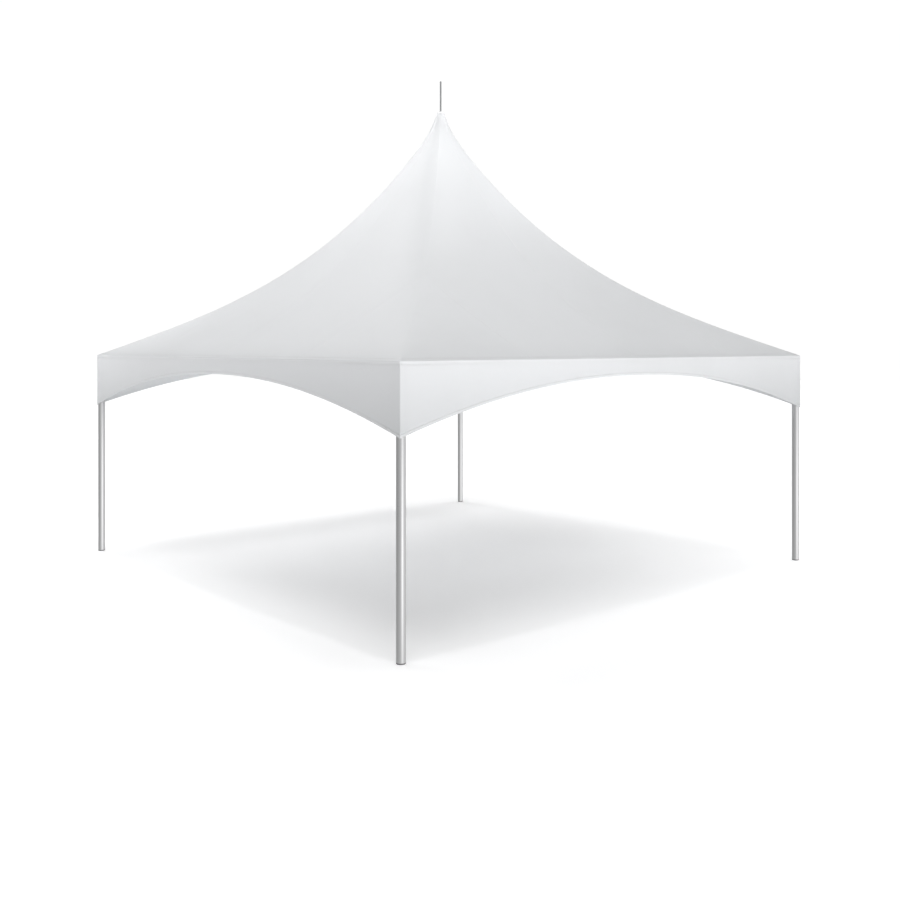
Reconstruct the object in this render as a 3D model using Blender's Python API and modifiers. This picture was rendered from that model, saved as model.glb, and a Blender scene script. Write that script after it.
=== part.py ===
"""A square high-peak marquee tent, open on all four sides.

Four round legs stand on plug feet. A corner fitting on each leg takes two eave rails, which make
the square ring that the cloth hangs over. Two taut cables cross the ring from corner to corner
and carry a short mast on a floating foot. The mast pushes the roof up into its sharp, sagging
peak. Four arched valances hang from the eave. The front is at -Y, the left side at -X, and the
ground is at Z = 0.
"""
import math

import bmesh
import bpy
from mathutils import Matrix, Vector

# Driving dimensions, in metres.
HALF_SIDE = 3.048             # plan centre to the outer face of the cloth, a 20 ft square
EAVE_HEIGHT = 2.438           # ground to the crease between roof and valance, 8 ft
GAP = 0.0003                  # clearance between two pieces that touch
SEAT = 0.0006                 # clearance under the cloth, whose faces are not quite smooth
WELD = 0.00001                # points closer than this are one point
SHARP = math.radians(35)      # edges bent more than this stay sharp

# The roof's hip, from the corner of the eave (part 0) to the centre (part 1).
HIP_RISE = 2.892              # rise of the hip over its whole run
HIP_STRAIGHT = 0.504          # share of that rise that is a straight slope
HIP_POWER = 3.36              # how late the rest of it turns up
TIP_RISE = 0.25               # last upward flick at the mast head
TIP_POWER = 60
ROOF_TOP_PART = 0.9885        # part of the hip at which the cloth ends on the mast head
SOFT_LOW = 0.30               # how fast the square eave turns into a soft section
SOFT_HIGH = 0.20              # the rest of it, which makes the top round
CLOTH = 0.004                 # thickness of the roof's solid
ROOF_ROWS = 13
ROOF_COLUMNS = 10
ROOF_CROWDING = 1.8           # how much closer together the rows lie near the top

# The valance.
VALANCE_THICKNESS = 0.003
VALANCE_MID_DROP = 0.168      # depth below the crease at the middle of a side
VALANCE_CORNER_DROP = 0.618   # depth at the corner
VALANCE_POWER = 2.1           # form of the arch between them
VALANCE_TOP_DROP = 0.0050     # top edge below the crease, clear of the roof's rim
ARCH_STEPS = 32

# Frame tube, used for the legs and the eave rails.
TUBE_RADIUS = 0.040
TUBE_WALL = 0.0032
TURN_STEPS = 20
FRAME_INSET = VALANCE_THICKNESS + GAP + TUBE_RADIUS   # outer face of the cloth to the tube's axis

# Leg foot.
FOOT_FLANGE = 0.010
FOOT_CHAMFER = 0.002
FOOT_PLUG = 0.060

# Corner fitting.
COLLAR_RADIUS = 0.0385
COLLAR_LENGTH = 0.060         # fitting's centre to the end of the tube
SPIGOT_LENGTH = 0.120         # part of the fitting inside the tube
EAR_REACH = 0.100             # fitting's centre to the cable pin, on plan
EAR_DROP = 0.036              # cable pin below the fitting's centre
EAR_START = 0.030
EAR_THICKNESS = 0.010
EAR_RADIUS = 0.019
EAR_STEPS = 8

# Cable pins, forks and tensioners.
SMALL_STEPS = 10
PIN_RADIUS = 0.008
PIN_HOLE_RADIUS = 0.0085
PIN_HEAD = 0.003              # how far the pin stands out of the fork
FORK_CHEEK = 0.008
FORK_FRONT = 0.016            # pin to the fork's front
FORK_BACK = 0.052             # pin to the fork's back
FORK_SLOT_BACK = 0.026        # pin to the bottom of the slot
FORK_HEIGHT = 0.030
FORK_OVERLAP = 0.010          # how far a rod reaches into its fork
THREAD_RADIUS = 0.007
THREAD_END = 0.095
BARREL_RADIUS = 0.017
BARREL_END = 0.335
BARREL_CHAMFER = 0.006
SLEEVE_RADIUS = 0.010
SLEEVE_LENGTH = 0.065
CABLE_RADIUS = 0.005
SOCKET_RADIUS = 0.011
SOCKET_END = 0.110

# Mast and its foot.
MAST_RADIUS = 0.0254
MAST_WALL = 0.0032
MAST_PIN_HEIGHT = 2.10        # height of the cable pins at the mast foot
MAST_EAR_REACH = 0.092
MAST_BOSS_RADIUS = 0.038
MAST_BOSS_DROP = 0.035        # boss below the cable pins
MAST_FLANGE_RADIUS = 0.048
MAST_FLANGE_BASE = 0.028      # flange above the cable pins
MAST_FLANGE_TOP = 0.040
MAST_PLUG = 0.100

# Mast head, cap and top pin.
HEAD_BASE_PART = 0.972        # part of the hip at the foot of the head's cone
HEAD_POINTS = 5
HEAD_WALL = 0.006
HEAD_CROWN = 0.030            # solid metal at the top of the cone
CAP_TOP = 5.414
CAP_TOP_RADIUS = 0.036
CAP_ROUND = 0.008
SPIRE_TOP = 5.790
SPIRE_RADIUS = 0.010
SPIRE_STEM_RADIUS = 0.008
SPIRE_STEM_DEPTH = 0.050
ARC_STEPS = 4

SIDES = ("front", "right", "back", "left")
CORNERS = ("front_left", "front_right", "back_right", "back_left")


def clear_scene():
    """Remove whatever the file holds."""
    for old in list(bpy.data.objects):
        bpy.data.objects.remove(old, do_unlink=True)


def new_collection(name):
    """A collection linked to the scene."""
    collection = bpy.data.collections.new(name)
    bpy.context.scene.collection.children.link(collection)
    return collection


def new_material(name, colour, roughness, metallic=0.0):
    """A Principled BSDF with the piece's colour and finish."""
    material = bpy.data.materials.new(name)
    material.use_nodes = True
    shader = material.node_tree.nodes["Principled BSDF"]
    shader.inputs["Base Color"].default_value = (*colour, 1.0)
    shader.inputs["Roughness"].default_value = roughness
    shader.inputs["Metallic"].default_value = metallic
    return material


def add_piece(name, data, material, location=(0, 0, 0), rotation=(0, 0, 0)):
    """One named piece of the tent, placed by its location and rotation."""
    piece = bpy.data.objects.new(name, data)
    TENT.objects.link(piece)
    piece.location = location
    piece.rotation_euler = rotation
    if not data.materials:
        data.materials.append(material)
    return piece


def add_helper(name, data):
    """A working shape that is not part of the tent."""
    helper = bpy.data.objects.new(name, data)
    HELPERS.objects.link(helper)
    helper.hide_render = True
    helper.display_type = "WIRE"
    return helper


def evaluated_mesh(name, source):
    """The shape of an object with its modifiers applied."""
    bpy.context.view_layer.update()
    graph = bpy.context.evaluated_depsgraph_get()
    mesh = bpy.data.meshes.new_from_object(source.evaluated_get(graph), depsgraph=graph)
    mesh.name = name
    return mesh


def boolean(target, tool, operation):
    """Cut, join or keep the overlap of two closed shapes."""
    step = target.modifiers.new(operation.lower(), "BOOLEAN")
    step.operation = operation
    step.solver = "EXACT"
    step.object = tool


def combined_mesh(name, base, joins):
    """One mesh from a base and the shapes joined to it."""
    for tool in joins:
        boolean(base, tool, "UNION")
    mesh = evaluated_mesh(name, base)
    for helper in (base, *joins):
        bpy.data.objects.remove(helper, do_unlink=True)
    mesh.shade_smooth()
    mesh.set_sharp_from_angle(angle=SHARP)
    return mesh


def box_helper(name, low, high):
    """A box between two corners."""
    shape = bmesh.new()
    bmesh.ops.create_cube(shape, size=1.0)
    size = Vector(high) - Vector(low)
    bmesh.ops.scale(shape, vec=size, verts=shape.verts)
    bmesh.ops.translate(shape, vec=(Vector(high) + Vector(low)) / 2, verts=shape.verts)
    mesh = bpy.data.meshes.new(name)
    shape.to_mesh(mesh)
    shape.free()
    return add_helper(name, mesh)


def disc_helper(name, radius, thickness, centre, steps):
    """A round disc or pin across the Y axis."""
    shape = bmesh.new()
    bmesh.ops.create_cone(shape, cap_ends=True, segments=steps, radius1=radius, radius2=radius,
                          depth=thickness)
    bmesh.ops.rotate(shape, matrix=Matrix.Rotation(math.radians(90), 3, "X"), verts=shape.verts)
    bmesh.ops.translate(shape, vec=centre, verts=shape.verts)
    mesh = bpy.data.meshes.new(name)
    shape.to_mesh(mesh)
    shape.free()
    return add_helper(name, mesh)


def ear_helper(reach, height, heading):
    """An upright plate with a round end and a pin hole, standing out along a heading."""
    outline = [(EAR_START, -EAR_RADIUS)]
    for step in range(EAR_STEPS + 1):
        angle = math.pi * (step / EAR_STEPS - 0.5)
        outline.append((reach + EAR_RADIUS * math.cos(angle), EAR_RADIUS * math.sin(angle)))
    outline.append((EAR_START, EAR_RADIUS))
    hole = []
    for step in range(SMALL_STEPS):
        angle = 2 * math.pi * step / SMALL_STEPS
        hole.append((reach + PIN_HOLE_RADIUS * math.cos(angle), PIN_HOLE_RADIUS * math.sin(angle)))
    curve = flat_curve("ear", (outline, hole), EAR_THICKNESS)
    drawn = add_helper("ear", curve)
    mesh = evaluated_mesh("ear", drawn)
    bpy.data.objects.remove(drawn, do_unlink=True)
    shape = bmesh.new()
    shape.from_mesh(mesh)
    bmesh.ops.remove_doubles(shape, verts=shape.verts, dist=WELD)
    shape.to_mesh(mesh)
    shape.free()
    mesh.transform(Matrix.Rotation(heading, 4, "Z") @ Matrix.Translation((0, 0, height))
                   @ Matrix.Rotation(math.radians(90), 4, "X"))
    return add_helper("ear", mesh)


def flat_curve(name, outlines, thickness):
    """A flat shape from closed outlines in the XY plane, the later ones being its holes."""
    curve = bpy.data.curves.new(name, "CURVE")
    curve.dimensions = "2D"
    curve.fill_mode = "BOTH"
    curve.extrude = thickness / 2
    for outline in outlines:
        spline = curve.splines.new("POLY")
        spline.points.add(len(outline) - 1)
        for point, (along, up) in zip(spline.points, outline):
            point.co = (along, up, 0, 1)
        spline.use_cyclic_u = True
    return curve


def turned_mesh(name, profile, steps=TURN_STEPS, closed=False):
    """A body turned about Z from (radius, height) points that run down its outer side."""
    count = len(profile)
    edges = [(index, index + 1) for index in range(count - 1)]
    if closed:
        edges.append((count - 1, 0))
    outline = bpy.data.meshes.new(name + "_outline")
    outline.from_pydata([(radius, 0, height) for radius, height in profile], edges, [])
    helper = add_helper(name, outline)
    screw = helper.modifiers.new("turn", "SCREW")
    screw.axis = "Z"
    screw.steps = steps
    screw.render_steps = steps
    screw.use_merge_vertices = True
    screw.merge_threshold = 0.0001
    mesh = evaluated_mesh(name, helper)
    bpy.data.objects.remove(helper, do_unlink=True)
    mesh.set_sharp_from_angle(angle=SHARP)
    return mesh


def lay_along(helper, direction):
    """Turn a helper's mesh so that its +Z points along a direction."""
    turn = Vector((0, 0, 1)).rotation_difference(Vector(direction)).to_matrix().to_4x4()
    helper.data.transform(turn)
    return helper


def quarter_turn(index):
    """The angle about Z of a side or corner, counted from the front."""
    return math.radians(90 * index)


def around(index, point):
    """A point of the front side or front left corner, turned to another one."""
    return Matrix.Rotation(quarter_turn(index), 3, "Z") @ Vector(point)


def plug_radius(tube_radius, wall, steps=TURN_STEPS):
    """The radius of a plug that slides into a tube with flat facets."""
    return (tube_radius - wall) * math.cos(math.pi / steps) - GAP


# The roof's surface.

def hip_height(part):
    """Height of the roof where its hip has run this part of the way to the centre."""
    bend = HIP_STRAIGHT * part + (1 - HIP_STRAIGHT) * part ** HIP_POWER
    return EAVE_HEIGHT + HIP_RISE * bend + TIP_RISE * part ** TIP_POWER


def roof_radius(part, turn):
    """Distance from the centre line to the roof: square at the eave, round at the top."""
    softness = SOFT_LOW * part + SOFT_HIGH * part ** 4
    power = 1 / softness if softness > 0 else math.inf
    near = max(abs(math.cos(turn)), abs(math.sin(turn)))
    far = min(abs(math.cos(turn)), abs(math.sin(turn)))
    bulge = (2 / (1 + (far / near) ** power)) ** softness
    return (1 - part) * HALF_SIDE * bulge / near


def mid_side_point(part):
    """Radius and height of the roof over the middle of a side."""
    return roof_radius(part, 0.0), hip_height(part)


def under_roof(part, clearance):
    """Radius and height just under the cloth, over the middle of a side."""
    step = 0.0005
    radius, height = mid_side_point(part)
    radius_in, height_in = mid_side_point(part + step)
    slope = math.atan2(height_in - height, radius - radius_in)
    depth = CLOTH + clearance
    return radius - depth * math.sin(slope), height - depth * math.cos(slope)


EAVE_SLOPE = HIP_RISE * HIP_STRAIGHT / HALF_SIDE      # slope of the roof at the corner of the eave
RING_HEIGHT = (EAVE_HEIGHT + EAVE_SLOPE * FRAME_INSET
               - (CLOTH + SEAT + TUBE_RADIUS) * math.hypot(1, EAVE_SLOPE))
RING_HALF = HALF_SIDE - FRAME_INSET


def roof_panel_mesh():
    """The front quarter of the roof, cut off at the two hips."""
    turns = [math.radians(45) * math.sin(math.radians(90) * (2 * column / ROOF_COLUMNS - 1))
             for column in range(ROOF_COLUMNS + 1)]
    # One column past each hip, so that the cloth bends evenly over it.
    turns = [-math.radians(90) - turns[1], *turns, math.radians(90) - turns[-2]]
    shape = bmesh.new()
    rows = []
    for row in range(ROOF_ROWS + 1):
        part = ROOF_TOP_PART * (1 - (1 - row / ROOF_ROWS) ** ROOF_CROWDING)
        height = hip_height(part)
        line = []
        for turn in turns:
            radius = roof_radius(part, turn)
            line.append(shape.verts.new((radius * math.sin(turn), -radius * math.cos(turn), height)))
        rows.append(line)
    for low, high in zip(rows, rows[1:]):
        for column in range(len(turns) - 1):
            shape.faces.new((low[column], low[column + 1], high[column + 1], high[column]))
    surface = bpy.data.meshes.new("roof_surface")
    shape.to_mesh(surface)
    shape.free()
    sheet = add_helper("roof_sheet", surface)
    shell = sheet.modifiers.new("thickness", "SOLIDIFY")
    shell.thickness = CLOTH
    shell.offset = -1
    shell.use_even_offset = True
    shell.use_quality_normals = True
    # A square post standing on its edge is the quarter of the plan between two hips.
    reach = 2 * HALF_SIDE
    wedge = box_helper("wedge", (GAP / 2, GAP / 2, 0), (reach, reach, SPIRE_TOP))
    wedge.data.transform(Matrix.Rotation(math.radians(-135), 4, "Z"))
    boolean(sheet, wedge, "INTERSECT")
    mesh = evaluated_mesh("roof_panel", sheet)
    for helper in (sheet, wedge):
        bpy.data.objects.remove(helper, do_unlink=True)
    mesh.shade_smooth()
    mesh.set_sharp_from_angle(angle=SHARP)
    return mesh


def build_roof(cloth):
    """Four panels that meet along the hips."""
    mesh = roof_panel_mesh()
    for index, side in enumerate(SIDES):
        add_piece("roof_panel_" + side, mesh, cloth, rotation=(0, 0, quarter_turn(index)))


def valance_curve(name, half_length):
    """A flat strip with an arched lower edge, drawn with X along the side and Y up."""
    top = EAVE_HEIGHT - VALANCE_TOP_DROP
    corners = [(half_length, top), (-half_length, top)]
    arch = []
    for step in range(ARCH_STEPS + 1):
        along = -half_length + 2 * half_length * step / ARCH_STEPS
        bend = abs(along / HALF_SIDE) ** VALANCE_POWER
        drop = VALANCE_MID_DROP + (VALANCE_CORNER_DROP - VALANCE_MID_DROP) * bend
        arch.append((along, EAVE_HEIGHT - drop))
    return flat_curve(name, (corners + arch,), VALANCE_THICKNESS)


def build_valances(cloth):
    """The front and back valances run full width, and the other two fit between them."""
    full = valance_curve("valance_full", HALF_SIDE)
    fitted = valance_curve("valance_fitted", HALF_SIDE - VALANCE_THICKNESS - GAP)
    for index, side in enumerate(SIDES):
        curve = full if index % 2 == 0 else fitted
        place = around(index, (0, -(HALF_SIDE - VALANCE_THICKNESS / 2), 0))
        add_piece("valance_" + side, curve, cloth, place,
                  (math.radians(90), 0, quarter_turn(index)))


def tube_mesh(name, radius, wall, length):
    """A straight tube from Z = 0 up, open at both ends."""
    bore = radius - wall
    profile = [(radius, length), (radius, 0), (bore, 0), (bore, length)]
    return turned_mesh(name, profile, closed=True)


def build_legs(aluminium, rubber):
    """Four tubes, each on a plug foot."""
    base = FOOT_FLANGE + GAP
    top = RING_HEIGHT - COLLAR_LENGTH - GAP
    leg = tube_mesh("leg", TUBE_RADIUS, TUBE_WALL, top - base)
    plug = plug_radius(TUBE_RADIUS, TUBE_WALL)
    foot = turned_mesh("leg_foot", [
        (0, FOOT_FLANGE + FOOT_PLUG), (plug, FOOT_FLANGE + FOOT_PLUG), (plug, FOOT_FLANGE),
        (TUBE_RADIUS, FOOT_FLANGE), (TUBE_RADIUS, FOOT_CHAMFER), (TUBE_RADIUS - FOOT_CHAMFER, 0),
        (0, 0)])
    for index, corner in enumerate(CORNERS):
        plan = around(index, (-RING_HALF, -RING_HALF, 0))
        add_piece("leg_foot_" + corner, foot, rubber, plan)
        add_piece("leg_" + corner, leg, aluminium, plan + Vector((0, 0, base)))


def build_rails(aluminium):
    """Four tubes that make the square ring between the corner fittings."""
    length = 2 * (RING_HALF - COLLAR_LENGTH - GAP)
    rail = tube_mesh("eave_rail", TUBE_RADIUS, TUBE_WALL, length)
    rail.transform(Matrix.Rotation(math.radians(90), 4, "Y") @ Matrix.Translation((0, 0, -length / 2)))
    for index, side in enumerate(SIDES):
        add_piece("eave_rail_" + side, rail, aluminium, around(index, (0, -RING_HALF, RING_HEIGHT)),
                  (0, 0, quarter_turn(index)))


def corner_fitting_mesh():
    """A cast ball with arms into the leg and two rails, and an ear for the cable."""
    shape = bmesh.new()
    bmesh.ops.create_uvsphere(shape, u_segments=TURN_STEPS, v_segments=TURN_STEPS // 2,
                              radius=TUBE_RADIUS)
    ball_mesh = bpy.data.meshes.new("ball")
    shape.to_mesh(ball_mesh)
    shape.free()
    ball = add_helper("ball", ball_mesh)
    plug = plug_radius(TUBE_RADIUS, TUBE_WALL)
    end = COLLAR_LENGTH + SPIGOT_LENGTH
    arms = []
    for direction in ((1, 0, 0), (0, 1, 0), (0, 0, -1)):
        arm = turned_mesh("arm", [(0, end), (plug, end), (plug, COLLAR_LENGTH),
                                  (COLLAR_RADIUS, COLLAR_LENGTH), (COLLAR_RADIUS, 0), (0, 0)])
        arms.append(lay_along(add_helper("arm", arm), direction))
    ear = ear_helper(EAR_REACH, -EAR_DROP, math.radians(45))
    return combined_mesh("corner_fitting", ball, (*arms, ear))


def build_corner_fittings(casting):
    """One fitting on each leg, turned so that its rails run along the two sides."""
    mesh = corner_fitting_mesh()
    for index, corner in enumerate(CORNERS):
        add_piece("corner_fitting_" + corner, mesh, casting,
                  around(index, (-RING_HALF, -RING_HALF, RING_HEIGHT)), (0, 0, quarter_turn(index)))


def fork_helpers():
    """The fork, its slot and its pin, around a cable pin at the origin, opening to -X."""
    half = EAR_THICKNESS / 2 + GAP + FORK_CHEEK
    slot_half = EAR_THICKNESS / 2 + GAP
    fork = box_helper("fork", (-FORK_FRONT, -half, -FORK_HEIGHT / 2),
                      (FORK_BACK, half, FORK_HEIGHT / 2))
    slot = box_helper("slot", (-2 * FORK_FRONT, -slot_half, -FORK_HEIGHT),
                      (FORK_SLOT_BACK, slot_half, FORK_HEIGHT))
    pin = disc_helper("pin", PIN_RADIUS, 2 * (half + PIN_HEAD), (0, 0, 0), SMALL_STEPS)
    return fork, slot, pin


def forked_rod_mesh(name, profile):
    """A fork with its pin and a turned rod behind it, along +X."""
    fork, slot, pin = fork_helpers()
    boolean(fork, slot, "DIFFERENCE")
    rod = lay_along(add_helper("rod", turned_mesh("rod", profile, SMALL_STEPS)), (1, 0, 0))
    mesh = combined_mesh(name, fork, (pin, rod))
    bpy.data.objects.remove(slot, do_unlink=True)
    return mesh


def build_cables(steel):
    """Four taut cables, each from the mast foot to the tensioner at a corner."""
    corner_pin = Vector((-(RING_HALF - EAR_REACH * math.sqrt(0.5)),
                         -(RING_HALF - EAR_REACH * math.sqrt(0.5)), RING_HEIGHT - EAR_DROP))
    foot_pin = Vector((-MAST_EAR_REACH * math.sqrt(0.5), -MAST_EAR_REACH * math.sqrt(0.5),
                       MAST_PIN_HEIGHT))
    run = foot_pin - corner_pin
    start = FORK_BACK - FORK_OVERLAP
    tensioner = forked_rod_mesh("cable_tensioner", [
        (0, BARREL_END), (BARREL_RADIUS - BARREL_CHAMFER, BARREL_END),
        (BARREL_RADIUS, BARREL_END - BARREL_CHAMFER), (BARREL_RADIUS, THREAD_END + BARREL_CHAMFER),
        (BARREL_RADIUS - BARREL_CHAMFER, THREAD_END), (THREAD_RADIUS, THREAD_END),
        (THREAD_RADIUS, start), (0, start)])
    end = run.length - BARREL_END - GAP
    cable = forked_rod_mesh("cross_cable", [
        (0, end), (SLEEVE_RADIUS, end), (SLEEVE_RADIUS, end - SLEEVE_LENGTH),
        (CABLE_RADIUS, end - SLEEVE_LENGTH - CABLE_RADIUS), (CABLE_RADIUS, SOCKET_END),
        (SOCKET_RADIUS, SOCKET_END - CABLE_RADIUS), (SOCKET_RADIUS, start), (0, start)])
    dip = math.atan2(-run.z, math.hypot(run.x, run.y))
    for index, corner in enumerate(CORNERS):
        heading = math.radians(45) + quarter_turn(index)
        add_piece("cable_tensioner_" + corner, tensioner, steel, around(index, corner_pin),
                  (0, dip, heading))
        add_piece("cross_cable_" + corner, cable, steel, around(index, foot_pin),
                  (0, -dip, heading + math.pi))


def build_mast(aluminium, casting):
    """The floating mast foot with four cable ears, and the mast tube on it."""
    plug = plug_radius(MAST_RADIUS, MAST_WALL)
    pins = MAST_PIN_HEIGHT
    body = add_helper("mast_foot_body", turned_mesh("mast_foot_body", [
        (0, pins + MAST_FLANGE_TOP + MAST_PLUG), (plug, pins + MAST_FLANGE_TOP + MAST_PLUG),
        (plug, pins + MAST_FLANGE_TOP), (MAST_FLANGE_RADIUS, pins + MAST_FLANGE_TOP),
        (MAST_FLANGE_RADIUS, pins + MAST_FLANGE_BASE), (MAST_BOSS_RADIUS, pins + MAST_FLANGE_BASE),
        (MAST_BOSS_RADIUS, pins - MAST_BOSS_DROP), (0, pins - MAST_BOSS_DROP)]))
    ears = [ear_helper(MAST_EAR_REACH, pins, math.radians(45) + quarter_turn(index))
            for index in range(len(CORNERS))]
    add_piece("mast_foot", combined_mesh("mast_foot", body, ears), casting)
    base = pins + MAST_FLANGE_TOP + GAP
    top = under_roof(ROOF_TOP_PART, SEAT)[1] - HEAD_CROWN - GAP
    mast = tube_mesh("mast", MAST_RADIUS, MAST_WALL, top - base)
    add_piece("mast_tube", mast, aluminium, (0, 0, base))


def build_peak(casting, cap_material, spire_material):
    """The cone that carries the cloth, the cap over the cloth's edge and the thin top pin."""
    parts = [ROOF_TOP_PART + (HEAD_BASE_PART - ROOF_TOP_PART) * point / (HEAD_POINTS - 1)
             for point in range(HEAD_POINTS)]
    outer = [under_roof(part, SEAT) for part in parts]
    inner = [under_roof(part, SEAT + HEAD_WALL) for part in parts[1:]]
    head_top = outer[0][1]
    crown_base = head_top - HEAD_CROWN
    plug = plug_radius(MAST_RADIUS, MAST_WALL)
    bore = SPIRE_STEM_RADIUS + PIN_HOLE_RADIUS - PIN_RADIUS
    stem_end = head_top - SPIRE_STEM_DEPTH
    head = [(0, stem_end), (bore, stem_end), (bore, head_top), *outer,
            *[point for point in reversed(inner) if point[1] < crown_base],
            (MAST_RADIUS + HEAD_WALL, crown_base), (plug, crown_base),
            (plug, crown_base - MAST_PLUG), (0, crown_base - MAST_PLUG)]
    add_piece("mast_head", turned_mesh("mast_head", head), casting)

    rim_radius, rim_height = mid_side_point(ROOF_TOP_PART)
    cap_base = rim_height + SEAT
    cap = [(bore, CAP_TOP)]
    for step in range(ARC_STEPS + 1):
        angle = math.radians(90) * (1 - step / ARC_STEPS)
        cap.append((CAP_TOP_RADIUS - CAP_ROUND + CAP_ROUND * math.cos(angle),
                    CAP_TOP - CAP_ROUND + CAP_ROUND * math.sin(angle)))
    cap += [(rim_radius, cap_base), (bore, cap_base)]
    add_piece("peak_cap", turned_mesh("peak_cap", cap, closed=True), cap_material)

    spire = []
    for step in range(ARC_STEPS + 1):
        angle = math.radians(90) * (1 - step / ARC_STEPS)
        spire.append((SPIRE_RADIUS * math.cos(angle) if step else 0,
                      SPIRE_TOP - SPIRE_RADIUS + SPIRE_RADIUS * math.sin(angle)))
    spire += [(SPIRE_RADIUS, CAP_TOP + GAP), (SPIRE_STEM_RADIUS, CAP_TOP + GAP),
              (SPIRE_STEM_RADIUS, stem_end + GAP), (0, stem_end + GAP)]
    add_piece("top_pin", turned_mesh("top_pin", spire, TURN_STEPS // 2), spire_material)


clear_scene()
TENT = new_collection("marquee_tent")
HELPERS = new_collection("working_shapes")

CLOTH_WHITE = new_material("white_cloth", (0.86, 0.86, 0.87), 0.55)
ALUMINIUM = new_material("aluminium_tube", (0.70, 0.71, 0.72), 0.32, 1.0)
CAST_ALUMINIUM = new_material("cast_aluminium", (0.60, 0.61, 0.62), 0.50, 1.0)
STEEL = new_material("galvanised_steel", (0.52, 0.53, 0.55), 0.42, 1.0)
RUBBER = new_material("grey_rubber", (0.20, 0.20, 0.21), 0.75)
CAP_WHITE = new_material("white_cap", (0.88, 0.88, 0.88), 0.45)
SPIRE_GREY = new_material("grey_pin", (0.30, 0.31, 0.32), 0.45, 0.6)

build_legs(ALUMINIUM, RUBBER)
build_corner_fittings(CAST_ALUMINIUM)
build_rails(ALUMINIUM)
build_cables(STEEL)
build_mast(ALUMINIUM, CAST_ALUMINIUM)
build_peak(CAST_ALUMINIUM, CAP_WHITE, SPIRE_GREY)
build_roof(CLOTH_WHITE)
build_valances(CLOTH_WHITE)
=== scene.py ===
# %% [markdown]
# # A high-peak marquee tent
#
# The tent is a square of white coated cloth, held up in the middle by a short mast. The mast does
# not reach the ground: it stands where two steel cables cross, and the cables are pulled tight
# between the four corners. That is what leaves the floor free and draws the roof into its sharp,
# sagging peak.
#
# This lesson dresses the plain model of the tent. The frame, the sizes and the places come from
# that model, and each piece here is a finer version of one that is already in its right place.

# %% Load the plain model
import math
from functools import partialmethod

import bmesh
import bpy
from mathutils import Matrix, Vector


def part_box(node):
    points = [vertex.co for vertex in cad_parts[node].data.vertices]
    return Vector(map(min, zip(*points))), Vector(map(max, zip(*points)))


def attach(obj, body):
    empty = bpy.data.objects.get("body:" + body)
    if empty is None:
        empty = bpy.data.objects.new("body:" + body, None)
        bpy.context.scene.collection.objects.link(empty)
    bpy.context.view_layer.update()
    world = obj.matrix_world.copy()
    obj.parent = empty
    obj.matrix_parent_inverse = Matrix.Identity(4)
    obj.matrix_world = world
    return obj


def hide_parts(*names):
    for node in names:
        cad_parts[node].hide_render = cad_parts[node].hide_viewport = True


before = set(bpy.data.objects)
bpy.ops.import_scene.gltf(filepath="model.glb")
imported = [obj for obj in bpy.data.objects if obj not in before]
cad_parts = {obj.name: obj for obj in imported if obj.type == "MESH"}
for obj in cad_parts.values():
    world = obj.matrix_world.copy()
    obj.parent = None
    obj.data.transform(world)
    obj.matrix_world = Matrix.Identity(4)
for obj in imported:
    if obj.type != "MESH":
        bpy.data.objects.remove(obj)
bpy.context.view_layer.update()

# %% [markdown]
# ## Sizes
#
# Every size that can be read from the model is read from it, so that the two never drift apart.
# The rest are the sizes that a tent maker would give: the roof's sweep, the valance's arch and,
# further down, the hardware.

# %% Sizes read from the model
MM = 0.001
SIDES = ("front", "right", "back", "left")
CORNERS = ("front_left", "front_right", "back_right", "back_left")

valance_low, valance_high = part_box("valance_front")
rail_low, rail_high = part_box("eave_rail_front")
leg_low, leg_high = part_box("leg_front_left")
HALF_SIDE = valance_high.x                      # plan centre to the outer face of the cloth
EAVE_HEIGHT = valance_high.z + 5 * MM           # ground to the crease between roof and valance
VALANCE_LOW = valance_low.z
TUBE_RADIUS = (rail_high.z - rail_low.z) / 2
RING_HEIGHT = (rail_high.z + rail_low.z) / 2    # height of the eave rails' axes
RING_HALF = -(leg_low.x + leg_high.x) / 2       # plan centre to the axes of rails and legs
print("half side", round(HALF_SIDE, 4), "eave", round(EAVE_HEIGHT, 4), "ring", round(RING_HALF, 4))

# %% Sizes of the roof and the valance
HIP_RISE = 2.892              # rise of the roof's hip over its whole run
HIP_STRAIGHT = 0.504          # share of that rise that is a straight slope
HIP_POWER = 3.36              # how late the rest of it turns up
TIP_RISE = 0.25               # last upward flick at the mast head
TIP_POWER = 60
SOFT_LOW = 0.30               # how fast the square eave turns into a soft section
SOFT_HIGH = 0.20              # the rest of it, which makes the top round
ROOF_TOP = 0.9885             # part of the hip at which the cloth ends on the mast head
CORNER_POWER = 600            # rounds the plan's corners by about a finger's width
CLOTH = 1.0 * MM              # a real coated cloth is thinner, but this keeps its edge in sight

MID_DROP = 0.168              # the valance's depth below the crease at the middle of a side
CORNER_DROP = EAVE_HEIGHT - VALANCE_LOW
ARCH_POWER = 2.1
print("valance hangs", MID_DROP, "to", round(CORNER_DROP, 3), "m below the eave")

# %% [markdown]
# ## The camera
#
# The picture was taken from about eye height on a step, 12 m away, looking level. A level camera
# keeps the legs upright in the picture, and the lens is shifted down to bring in the feet. The
# numbers come from the four feet and the eave lines: they fix the turn, the distance and the lens.

# %% Camera
CAMERA_TURN = math.radians(41.20)    # from looking straight at the front, towards the left side
CAMERA_DISTANCE = 12.451
CAMERA_ASIDE = 0.114
CAMERA_HEIGHT = 2.573
PICTURE = 900                        # pixels across and down
FOCAL_PIXELS = 1018.6
HORIZON_ROW = 344.4                  # pixels from the top of the picture

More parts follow.
